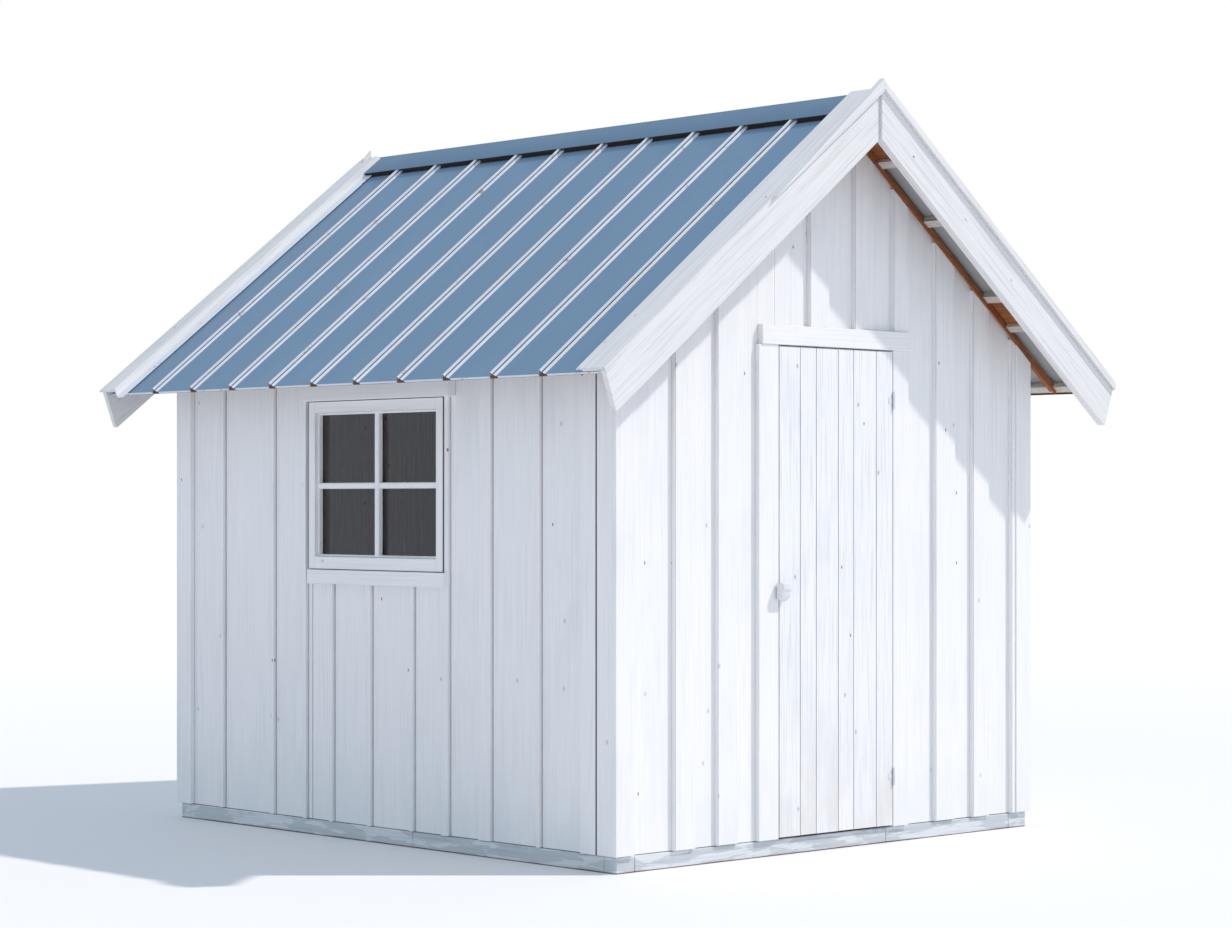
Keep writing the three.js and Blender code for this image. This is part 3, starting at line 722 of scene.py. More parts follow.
class BoardMesh:
    """A mesh of separate boards that is put together in edit mode."""

    def __init__(self, name: str, seed: int) -> None:
        """Starts an empty mesh at the origin.

        Args:
            name: Name of the piece.
            seed: Start of the random order of board tones.
        """
        leave_edit_mode()
        bpy.ops.mesh.primitive_cube_add(size=0.01)
        self.piece = bpy.context.active_object
        self.piece.name = name
        self.piece.data.name = name
        self.random = random.Random(seed)
        self.piece.data.attributes.new("board_tone", "FLOAT", "FACE")
        bpy.ops.object.mode_set(mode="EDIT")
        bpy.ops.mesh.select_all(action="SELECT")
        bpy.ops.mesh.delete(type="VERT")

    def board(self, low: Numbers, high: Numbers, material_index: int = 0) -> None:
        """Adds one board with the next random tone.

        Args:
            low: One corner.
            high: The opposite corner.
            material_index: Which of the piece's materials the board takes.
        """
        lowest = Vector([min(a, b) for a, b in zip(low, high)])
        highest = Vector([max(a, b) for a, b in zip(low, high)])
        bpy.ops.mesh.primitive_cube_add(size=1.0, location=(lowest + highest) / 2,
                                        scale=highest - lowest)
        mesh = bmesh.from_edit_mesh(self.piece.data)
        layer = mesh.faces.layers.float["board_tone"]
        tone = 0.04 + 0.96 * self.random.random()
        for face in mesh.faces:
            if face.select:
                face[layer] = tone
                face.material_index = material_index
        bmesh.update_edit_mesh(self.piece.data)

    def cut(self, point: Numbers, normal: Numbers) -> None:
        """Cuts everything away on one side of a plane and closes the cuts.

        Args:
            point: A point on the plane.
            normal: Points to the side that goes.
        """
        bpy.ops.mesh.select_all(action="SELECT")
        bpy.ops.mesh.bisect(plane_co=point, plane_no=normal, use_fill=True, clear_outer=True)
        mesh = bmesh.from_edit_mesh(self.piece.data)
        layer = mesh.faces.layers.float["board_tone"]
        for face in mesh.faces:
            if face[layer] == 0.0:
                near = max((e_face[layer], e_face.material_index)
                           for edge in face.edges for e_face in edge.link_faces)
                face[layer], face.material_index = near
        bmesh.update_edit_mesh(self.piece.data)

    def fit_under_roof(self, drop: float) -> None:
        """Cuts everything off at a depth below the roof pans.

        Args:
            drop: Depth square to the slope.
        """
        for side in (-1, 1):
            apex = (0.0, 0.0, RIDGE_Z - drop / SLOPE_COS)
            self.cut(apex, (side * SLOPE_SIN, 0.0, SLOPE_COS))

    def finish(self, arris: float, side: int = 0) -> Piece:
        """Leaves edit mode, rounds the arrises and lays a flat piece on its slope.

        Args:
            arris: Width of the rounding, or 0 for none.
            side: -1 for the left slope, 1 for the right, 0 for a piece already in place.

        Returns:
            The piece.
        """
        leave_edit_mode()
        if arris:
            soften(self.piece, arris, 1)
        if side:
            lay_on_slope(self.piece, side)
        return self.piece


def extruded_section(
    name: str,
    section: Sequence[Numbers],
    length: float,
    closed: bool,
) -> Piece:
    """Extrudes a section step by step from one edge, and then along its length.

    The section is drawn in (Y, Z) and the length runs along +X from the origin.

    Args:
        name: Name of the piece.
        section: Points of the section in metres.
        length: Length along X.
        closed: Whether the section's last point joins its first, with both ends closed.

    Returns:
        The piece, still in its own flat place.
    """
    leave_edit_mode()
    bpy.ops.mesh.primitive_plane_add(size=1.0)
    piece = bpy.context.active_object
    piece.name = name
    piece.data.name = name
    bpy.ops.object.mode_set(mode="EDIT")
    bpy.ops.mesh.select_all(action="SELECT")
    mesh = bmesh.from_edit_mesh(piece.data)
    mesh.verts.ensure_lookup_table()
    first, second = Vector((0.0, *section[0])), Vector((0.0, *section[1]))
    for vertex in mesh.verts:
        at = first if vertex.co.y < 0 else second
        vertex.co = at + Vector((length if vertex.co.x > 0 else 0.0, 0.0, 0.0))
    bmesh.update_edit_mesh(piece.data)
    previous = second
    for point in [*section[2:], *([section[0]] if closed else [])]:
        here = Vector((0.0, *point))
        mesh = bmesh.from_edit_mesh(piece.data)
        bpy.ops.mesh.select_all(action="DESELECT")
        bpy.ops.mesh.select_mode(type="EDGE")
        mesh = bmesh.from_edit_mesh(piece.data)
        for edge in mesh.edges:
            ends = [v.co for v in edge.verts]
            edge.select_set(all(abs(e.y - previous.y) < 1e-6 and abs(e.z - previous.z) < 1e-6
                                for e in ends) and edge.is_boundary)
        bmesh.update_edit_mesh(piece.data)
        bpy.ops.mesh.extrude_edges_move(TRANSFORM_OT_translate={"value": here - previous})
        previous = here
    if closed:
        bpy.ops.mesh.select_mode(type="VERT")
        bpy.ops.mesh.select_all(action="SELECT")
        bpy.ops.mesh.remove_doubles(threshold=0.01 * MM)
        bpy.ops.mesh.select_all(action="SELECT")
        bpy.ops.mesh.fill_holes(sides=0)
    bpy.ops.mesh.select_all(action="SELECT")
    bpy.ops.mesh.normals_make_consistent(inside=False)
    leave_edit_mode()
    return piece


def lay_on_slope(piece: Piece, side: int) -> None:
    """Moves a piece made flat onto one roof slope.

    The flat piece has +X up the slope from the eave, +Y along the ridge and +Z off the pan.

    Args:
        piece: Piece to move.
        side: -1 for the left slope, 1 for the right.
    """
    up_slope = Vector((-side * SLOPE_COS, 0.0, SLOPE_SIN))
    off_pan = Vector((side * SLOPE_SIN, 0.0, SLOPE_COS))
    eave = Vector((side * EAVE_X, 0.0, RIDGE_Z - SLOPE_TAN * EAVE_X))
    turn = Matrix((up_slope, (0.0, 1.0, 0.0), off_pan)).transposed().to_4x4()
    piece.data.transform(Matrix.Translation(eave) @ turn)
    if side > 0:
        piece.data.flip_normals()
    piece.data.update()


# ------------------------------------------------------------------ walls


@dataclass(frozen=True)
class WallFace:
    """Places boards on one wall by distance along it, depth inwards and height."""

    along_x: bool                # the wall runs along X, so it is a gable wall
    plane: float                 # raised boards' face
    inward: int                  # sign of the way into the room

    def corner(self, along: float, depth: float, height: float) -> tuple[float, float, float]:
        """Returns the point at a distance along, a depth inwards and a height."""
        across = self.plane + self.inward * depth
        return (along, across, height) if self.along_x else (across, along, height)

    def fill(
        self,
        mesh: BoardMesh,
        edges: Sequence[float],
        depths: tuple[float, float],
        heights: tuple[float, float],
        joint: float = 0.0,
        material_index: int = 0,
    ) -> None:
        """Fills a stretch of wall with boards between neighbouring edges.

        Args:
            mesh: Mesh to add to.
            edges: Board edges along the wall, in order.
            depths: Outer and inner depth of the boards.
            heights: Foot and top of the boards.
            joint: Gap between neighbours.
            material_index: Which of the piece's materials the boards take.
        """
        for low, high in zip(edges, edges[1:]):
            mesh.board(self.corner(low + joint / 2, depths[0], heights[0]),
                       self.corner(high - joint / 2, depths[1], heights[1]), material_index)


FRONT = WallFace(True, FRONT_FACE, 1)
BACK = WallFace(True, BACK_FACE, -1)
LEFT = WallFace(False, LEFT_FACE, 1)
RIGHT = WallFace(False, RIGHT_FACE, -1)

SIDING = (RAISED, RAISED + 18 * MM)          # recessed boards
STUDS = (RAISED + 18 * MM, RAISED + 48 * MM)
LINING = (RAISED + 48 * MM, RAISED + 60 * MM)
TALL = 3.2
SIDING_DROP = 31 * MM                        # gable boards end under the purlins
CLADDING_DROP = 46 * MM                      # raised boards end under the brown strip
SHEET_DROP = 2.4 * MM


def even_edges(low: float, high: float, width: float) -> list[float]:
    """Divides a stretch into boards of about one width.

    Args:
        low: Start of the stretch.
        high: End of the stretch.
        width: Width that the boards come close to.

    Returns:
        The edges, ends included.
    """
    count = max(1, round((high - low) / width))
    return [low + (high - low) * i / count for i in range(count + 1)]


@dataclass
class Opening:
    """A rectangular opening in a wall, along it and in height."""

    low: float
    high: float
    foot: float
    top: float


@dataclass
class Wall:
    """One clad wall: recessed boards, raised boards over their joints, studs and lining."""

    name: str
    face: WallFace
    low: float                                # ends of the slab along the wall
    high: float
    raised: Sequence[tuple[float, float]]     # full-height raised boards, low and high edge
    nodes: Sequence[str]
    paint: Material
    lining: Material
    opening: Optional[Opening] = None
    raised_over: Sequence[tuple[float, float]] = ()
    raised_under: Sequence[tuple[float, float]] = ()
    raised_over_foot: float = 0.0
    raised_under_top: float = 0.0
    seed: int = 1
    board_joint: float = 1.2 * MM
    arris: float = 1.5 * MM
    slots: Sequence[float] = ()               # open joints of the recessed boards
    slot_width: float = 5.5 * MM
    raised_depth: float = 0.0                 # how far back the raised boards' faces lie
    edge_lath: bool = False                   # a lath and a slot along each raised board's edge
    lath_width: float = 1.6 * MM
    lath_and_slot: float = 5.4 * MM
    narrowest: float = 20 * MM                # no recessed board is narrower
    lining_width: float = 0.2
    lining_joint: float = 14 * MM
    back_gap: float = 0.3 * MM                # between raised and recessed boards
    flush: Sequence[tuple[float, float]] = ()     # boards level with the corner boards
    shaded_joints: Sequence[tuple[float, float]] = ()    # painted shade in the joints beside them

    def top_drop(self, depth: float) -> float:
        """Finds how far below the pan the boards end.

        Args:
            depth: How far below it a gable's boards end.

        Returns:
            That depth on a gable, and the sheet's own on a side wall.
        """
        return depth if self.face.along_x else SHEET_DROP

    def stretches(self) -> list[tuple[float, float, float, float]]:
        """Divides the wall into solid stretches around its opening.

        Returns:
            Each stretch as low, high, foot and top.
        """
        if self.opening is None:
            return [(self.low, self.high, WALL_FOOT, TALL)]
        hole = self.opening
        solid = [(self.low, hole.low, WALL_FOOT, TALL), (hole.high, self.high, WALL_FOOT, TALL),
                 (hole.low, hole.high, hole.top, TALL)]
        if hole.foot > WALL_FOOT:
            solid.append((hole.low, hole.high, WALL_FOOT, hole.foot))
        return solid

    def siding_edges(self, low: float, high: float) -> list[float]:
        """Finds the recessed boards' joints, which lie behind the raised boards.

        Args:
            low: Start of the stretch.
            high: End of the stretch.

        Returns:
            The boards' edges, ends included.
        """
        spots = [(a + b) / 2 for a, b in sorted([*self.raised, *self.raised_over])]
        if self.slots:
            spots = sorted(self.slots)
        inner = [s for s in spots if low + self.narrowest < s < high - self.narrowest]
        return [low, *inner, high]

    def build_slab(self) -> None:
        """Builds the recessed boards and the studs as one piece, and the lining as another."""
        mesh = BoardMesh(f"{self.name}_siding", self.seed)
        for low, high, foot, top in self.stretches():
            joint = self.slot_width if self.slots else self.board_joint
            self.face.fill(mesh, self.siding_edges(low, high), SIDING, (foot, top), joint)
            self.face.fill(mesh, [low, high], STUDS, (foot, top), 0.0, 1)
        mesh.fit_under_roof(self.top_drop(SIDING_DROP))
        dress(mesh.finish(0.5 * MM),
              [self.paint, DARK_TIMBER.build(Grain.UPRIGHT)], replaced=self.nodes)
        lining = BoardMesh(f"{self.name}_lining", self.seed + 50)
        for low, high, foot, top in self.stretches():
            self.face.fill(lining, even_edges(low, high, self.lining_width), LINING, (foot, top),
                           self.lining_joint)
        lining.fit_under_roof(self.top_drop(SIDING_DROP))
        dress(lining.finish(self.arris), self.lining)

    def build_raised(self) -> None:
        """Builds the raised boards, each a little further out or in than the next."""
        mesh = BoardMesh(f"{self.name}_raised_boards", self.seed + 100)
        runs = [(self.raised, WALL_FOOT, TALL), (self.raised_over, self.raised_over_foot, TALL),
                (self.raised_under, WALL_FOOT, self.raised_under_top)]
        for boards, foot, top in runs:
            for low, high in boards:
                depth = self.raised_depth + mesh.random.uniform(0.0, 1.5) * MM
                drop = mesh.random.uniform(-1.5, 1.5) * MM if foot == WALL_FOOT else 0.0
                depths, heights = (depth, RAISED - self.back_gap), (foot + drop, top)
                if self.edge_lath:
                    self.face.fill(mesh, [low, low + self.lath_width], depths, heights)
                    low += self.lath_and_slot
                self.face.fill(mesh, [low, high], depths, heights)
        for edges in self.flush:
            self.face.fill(mesh, edges, (0.8 * MM, RAISED - self.back_gap), (WALL_FOOT, TALL))
        mesh.fit_under_roof(self.top_drop(CLADDING_DROP))
        dress(mesh.finish(self.arris), self.paint)

    def build_joint_shade(self) -> None:
        """Builds the near-black strips in the narrow joints beside the flush boards: painted
        shade.
        """
        mesh = BoardMesh(f"{self.name}_joint_seals", self.seed + 150)
        for edges in self.shaded_joints:
            self.face.fill(mesh, edges, (1.8 * MM, RAISED - 0.5 * MM), (WALL_FOOT, TALL))
        mesh.fit_under_roof(self.top_drop(CLADDING_DROP))
        dress(mesh.finish(0), PAINTED_SHADE_STRIP.build(Grain.UPRIGHT))

    def build(self) -> None:
        """Builds the whole wall."""
        self.build_slab()
        if self.raised or self.raised_over or self.raised_under:
            self.build_raised()
        if self.shaded_joints:
            self.build_joint_shade()


# ------------------------------------------------------------------ base, floor and corners


@dataclass
class Base:
    """Ground timbers and the floor boards that lie between them."""

    gable_cuts: Sequence[float] = (-1.09, 0.30, 1.07)    # where timbers butt, along X
    side_cuts: Sequence[float] = (-0.20,)                # and along Y
    cut_width: float = 1 * MM
    below_walls: float = 2.5 * MM
    arris: float = 3 * MM
    floor_board: float = 0.118

    def build_timbers(self) -> None:
        """Builds the four sides of the base from lengths butted end to end."""
        for node, grain in (("base_front", Grain.ALONG_X), ("base_back", Grain.ALONG_X),
                            ("base_left", Grain.ALONG_Y), ("base_right", Grain.ALONG_Y)):
            low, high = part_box(node)
            mesh = BoardMesh(f"{node}_timbers", 7 + len(node))
            along = 0 if grain is Grain.ALONG_X else 1
            cuts = self.gable_cuts if grain is Grain.ALONG_X else self.side_cuts
            edges = [low[along], *cuts, high[along]]
            for start, end in zip(edges, edges[1:]):
                a, b = Vector(low), Vector(high)
                a[along], b[along] = start + self.cut_width / 2, end - self.cut_width / 2
                b.z -= self.below_walls
                mesh.board(a, b)
            dress(mesh.finish(self.arris), BASE_PAINT.build(grain),
                  replaced=[node])

    def build_floor(self) -> None:
        """Builds the floor boards across the room."""
        low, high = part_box("floor")
        mesh = BoardMesh("floor_boards", 3)
        edges = even_edges(low.y, high.y, self.floor_board)
        for start, end in zip(edges, edges[1:]):
            mesh.board((low.x, start + 1 * MM, low.z), (high.x, end - 1 * MM, high.z))
        dress(mesh.finish(1 * MM), BROWN_TIMBER.build(Grain.ALONG_X),
              replaced=["floor"])

    def build(self) -> None:
        """Builds the base and the floor."""
        self.build_timbers()
        self.build_floor()


@dataclass
class CornerBoards:
    """Two boards at each corner, the gable's lapping the side's."""

    paint: Material
    arris: float = 2 * MM

    def build(self) -> None:
        """Builds the four corners."""
        for end, y_side in (("front", -1), ("back", 1)):
            for hand, x_side in (("left", -1), ("right", 1)):
                node = f"corner_board_{end}_{hand}"
                low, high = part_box(node)
                outer_x = low.x if x_side < 0 else high.x
                inner_x = high.x if x_side < 0 else low.x
                outer_y = low.y if y_side < 0 else high.y
                inner_y = high.y if y_side < 0 else low.y
                mesh = BoardMesh(f"{node}_boards", 60 + 7 * x_side + y_side)
                depth = RAISED - 0.3 * MM
                mesh.board((outer_x, outer_y, low.z),
                           (inner_x, outer_y - y_side * depth, TALL))
                mesh.board((outer_x, outer_y - y_side * (depth + 0.4 * MM), low.z),
                           (outer_x - x_side * depth, inner_y, TALL))
                mesh.fit_under_roof(CLADDING_DROP)
                dress(mesh.finish(self.arris), self.paint, replaced=[node])


# ------------------------------------------------------------------ door


@dataclass
class Door:
    """Plank door: six boards on three ledges and a brace, with its trims and fittings."""

    paint: Material
    trim_paint: Material
    joints: Sequence[float] = (-0.216, -0.125, 0.002, 0.092, 0.226)
    joint_width: float = 1.8 * MM
    thickness: float = 22 * MM
    ledge_height: float = 0.10
    ledge_inset: float = 27 * MM
    ledge_from_end: float = 0.18
    brace_width: float = 0.09
    brace_gap: float = 0.4 * MM               # between the brace's ends and the ledges
    jamb: float = 20 * MM
    tab_reach: float = 24 * MM                # of the hinge's moving tab over the leaf
    barrel_radius: float = 5 * MM

    def build_leaf(self) -> None:
        """Builds the boards, whose edges are bare brown wood inside the joints."""
        low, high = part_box("door_leaf")
        mesh = BoardMesh("door_boards", 21)
        edges = [low.x - self.joint_width / 2, *self.joints, high.x + self.joint_width / 2]
        for start, end in zip(edges, edges[1:]):
            ragged = mesh.random.uniform(0.0, 1.0) * MM
            mesh.board((start + self.joint_width / 2, low.y, low.z + ragged),
                       (end - self.joint_width / 2, low.y + self.thickness, high.z))
        leave_edit_mode()
        soften(mesh.piece, 1.2 * MM, 2)
        for face in mesh.piece.data.polygons:
            buried = low.x + 5 * MM < face.center.x < high.x - 5 * MM
            face.material_index = 1 if abs(face.normal.x) > 0.9 and buried else 0
        dress(mesh.piece, [self.paint, DARK_TIMBER.build(Grain.UPRIGHT)],
              body="door", replaced=["door_leaf"])

    def build_ledges(self) -> None:
        """Builds the three ledges behind the boards and the brace between them."""
        low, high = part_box("door_leaf")
        back = low.y + self.thickness + 0.2 * MM
        mesh = BoardMesh("door_ledges", 22)
        foot = low.z + self.ledge_from_end
        head = high.z - self.ledge_from_end - self.ledge_height
        ends = (low.x + self.ledge_inset, high.x - self.ledge_inset)
        for start in (foot, (foot + head) / 2, head):
            mesh.board((ends[0], back, start), (ends[1], high.y, start + self.ledge_height))
        dress(mesh.finish(2 * MM), DOOR_PAINT.build(Grain.ALONG_X), body="door")
        for index, start in enumerate((foot, (foot + head) / 2)):
            brace = BoardMesh(f"door_brace_{'lower' if index == 0 else 'upper'}", 23 + index)
            rise = (head - foot) / 2 - self.ledge_height
            run = ends[1] - ends[0] - self.brace_width
            lean = math.atan2(rise, run)
            middle = Vector(((ends[0] + ends[1]) / 2, 0.0, start + self.ledge_height + rise / 2))
            half = math.hypot(rise, run) / 2 + 0.05
            brace.board((-half, back, -self.brace_width / 2),
                        (half, high.y, self.brace_width / 2))
            bpy.ops.mesh.select_all(action="SELECT")
            bpy.ops.mesh.select_mode(type="VERT")
            live = bmesh.from_edit_mesh(brace.piece.data)
            turn = Matrix.Translation(middle) @ Matrix.Rotation(lean, 4, "Y")
            bmesh.ops.transform(live, matrix=turn, verts=live.verts)
            bmesh.update_edit_mesh(brace.piece.data)
            brace.cut((0, 0, start + self.ledge_height + self.brace_gap), (0, 0, -1))
            brace.cut((0, 0, start + self.ledge_height + rise - self.brace_gap), (0, 0, 1))
            dress(brace.finish(2 * MM), DOOR_PAINT.build(Grain.ALONG_X),
                  body="door")

    def build_trims(self) -> None:
        """Builds the trims and the header, and the jambs behind them."""
        for node in ("door_trim_left", "door_trim_right"):
            piece = eased_copy(node, f"{node}_board", 1.8 * MM)
            set_tone(piece, 0.3 if node.endswith("left") else 0.7)
            dress(piece, self.trim_paint, replaced=[node])
        header = eased_copy("door_header", "door_header_board", 2.2 * MM)
        set_tone(header, 0.45)
        dress(header, WHITE_PAINT.build(Grain.ALONG_X), replaced=["door_header"])
        left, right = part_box("door_trim_left")[1].x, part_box("door_trim_right")[0].x
        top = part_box("door_header")[0].z
        stop_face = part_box("front_wall_left")[0].y + 6 * MM
        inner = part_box("front_wall_left")[1].y
        rest, foot = 0.3 * MM, top - self.jamb
        mesh = BoardMesh("door_jambs", 31)
        mesh.board((left + rest, stop_face, WALL_FOOT), (left + self.jamb, inner, foot))
        mesh.board((right - rest, stop_face, WALL_FOOT), (right - self.jamb, inner, foot))
        mesh.board((left + rest, stop_face, foot), (right - rest, inner, top - rest))
        dress(mesh.finish(1.5 * MM), self.trim_paint)

    def build_fittings(self) -> None:
        """Builds the latch, and the hinges with the tabs that move with the leaf."""
        latch = eased_copy("door_latch", "door_latch_casting", 1.6 * MM)
        smooth(latch, 35)
        dress(latch, HARDWARE_PAINT.build(), body="door",
              replaced=["door_latch"])
        for node in ("hinge_lower", "hinge_upper"):
            low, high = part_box(node)
            piece = eased_copy(node, f"{node}_knuckle", 0.4 * MM)
            smooth(piece, 35)
            dress(piece, HARDWARE_PAINT.build(), replaced=[node])
            tab = BoardMesh(f"{node}_moving_tab", 41)
            leaf_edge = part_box("door_leaf")[1].x
            axis_x = low.x + self.barrel_radius
            tab.board((leaf_edge - self.tab_reach, FRONT_FACE - 1.8 * MM, low.z + self.tab_reach),
                      (axis_x - 4.4 * MM, FRONT_FACE - 0.2 * MM, high.z - self.tab_reach))
            dress(tab.finish(0.4 * MM), HARDWARE_PAINT.build(), body="door")

    def build(self) -> None:
        """Builds the door and what surrounds it."""
        self.build_leaf()
        self.build_ledges()
        self.build_trims()
        self.build_fittings()


# ------------------------------------------------------------------ window


@dataclass
class Window:
    """Fixed sash of four panes between a head board and a sill board."""

    paint: Material
    bar_width: float = 27 * MM
    bar_depth: float = 25 * MM
    bar_middle_y: float = 0.024
    bar_middle_z: float = 1.428
    bead: float = 9 * MM
    bead_depth: float = 16 * MM               # behind the sash's face

    def build_sash(self) -> None:
        """Builds the stiles, rails, glazing bars and beads."""
        for node, grain in (
            ("window_stile_front", Grain.UPRIGHT), ("window_stile_back", Grain.UPRIGHT),
            ("window_rail_top", Grain.ALONG_Y), ("window_rail_bottom", Grain.ALONG_Y),
        ):
            piece = eased_copy(node, f"{node}_moulded", 2.5 * MM)
            set_tone(piece, 0.2 + 0.1 * len(node) % 0.6)
            dress(piece, WHITE_PAINT.build(grain), replaced=[node])
        glass_low, glass_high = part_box("window_glass")
        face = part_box("window_stile_front")[0].x
        glass_face = glass_low.x - 0.4 * MM
        mesh = BoardMesh("window_glazing_bars", 51)
        start, lap = glass_face - self.bar_depth, 0.3 * MM
        half, cross_half = self.bar_width / 2, self.bar_width * 0.45
        mesh.board((start, self.bar_middle_y - half, glass_low.z - lap),
                   (glass_face, self.bar_middle_y + half, glass_high.z + lap))
        for low_y, high_y in ((glass_low.y - lap, self.bar_middle_y - half),
                              (self.bar_middle_y + half, glass_high.y + lap)):
            mesh.board((start + 1.5 * MM, low_y, self.bar_middle_z - cross_half),
                       (glass_face, high_y, self.bar_middle_z + cross_half))
        dress(mesh.finish(4 * MM), self.paint)
        beads = BoardMesh("window_beads", 52)
        for low_y, high_y in ((glass_low.y, glass_low.y + self.bead),
                              (glass_high.y - self.bead, glass_high.y)):
            beads.board((face + self.bead_depth, low_y, glass_low.z),
                        (glass_face, high_y, glass_high.z))
        for low_z, high_z in ((glass_low.z, glass_low.z + self.bead),
                              (glass_high.z - self.bead, glass_high.z)):
            beads.board((face + self.bead_depth, glass_low.y + self.bead, low_z),
                        (glass_face, glass_high.y - self.bead, high_z))
        dress(beads.finish(2.5 * MM), WHITE_PAINT.build(Grain.ALONG_Y))

    def build_boards(self) -> None:
        """Builds the head and sill boards and the painted shade in the sash's gap, and dresses the
        glass.
        """
        for node, arris in (("window_head_board", 3.0), ("window_sill_board", 2.5)):
            piece = eased_copy(node, f"{node}_eased", arris * MM)
            set_tone(piece, 0.62 if node.endswith("head_board") else 0.33)
            dress(piece, WHITE_PAINT.build(Grain.ALONG_Y), replaced=[node])
        low_y, high_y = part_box("window_stile_front")[0].y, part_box("window_stile_back")[1].y
        low_z, high_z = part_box("window_rail_bottom")[0].z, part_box("window_rail_top")[1].z
        face, gap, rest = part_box("window_stile_front")[0].x + 5 * MM, 2.7 * MM, 0.2 * MM
        # Near-black strips in the gap round the sash: painted shade in the gap.
        gap_shade = BoardMesh("window_gap_painted_shade", 53)
        for low, high in (((low_y - gap, low_z - gap), (low_y - rest, high_z + gap)),
                          ((high_y + rest, low_z - gap), (high_y + gap, high_z + gap)),
                          ((low_y, low_z - gap), (high_y, low_z - rest)),
                          ((low_y, high_z + rest), (high_y, high_z + gap))):
            gap_shade.board((face, *low), (face + 20 * MM, *high))
        dress(gap_shade.finish(0.2 * MM), PAINTED_SHADE_STRIP.build(Grain.ALONG_Y))
        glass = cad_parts["window_glass"]
        for spot in glass.material_slots:
            spot.material = FloatGlass().build()

    def build(self) -> None:
        """Builds the window."""
        self.build_sash()
        self.build_boards()


# ------------------------------------------------------------------ roof

HANDS = {-1: "left", 1: "right"}


def face_up(piece: Piece) -> None:
    """Turns an open sheet's faces so that they mostly look up."""
    if sum(f.normal.z * f.area for f in piece.data.polygons) <= 0:
        piece.data.flip_normals()


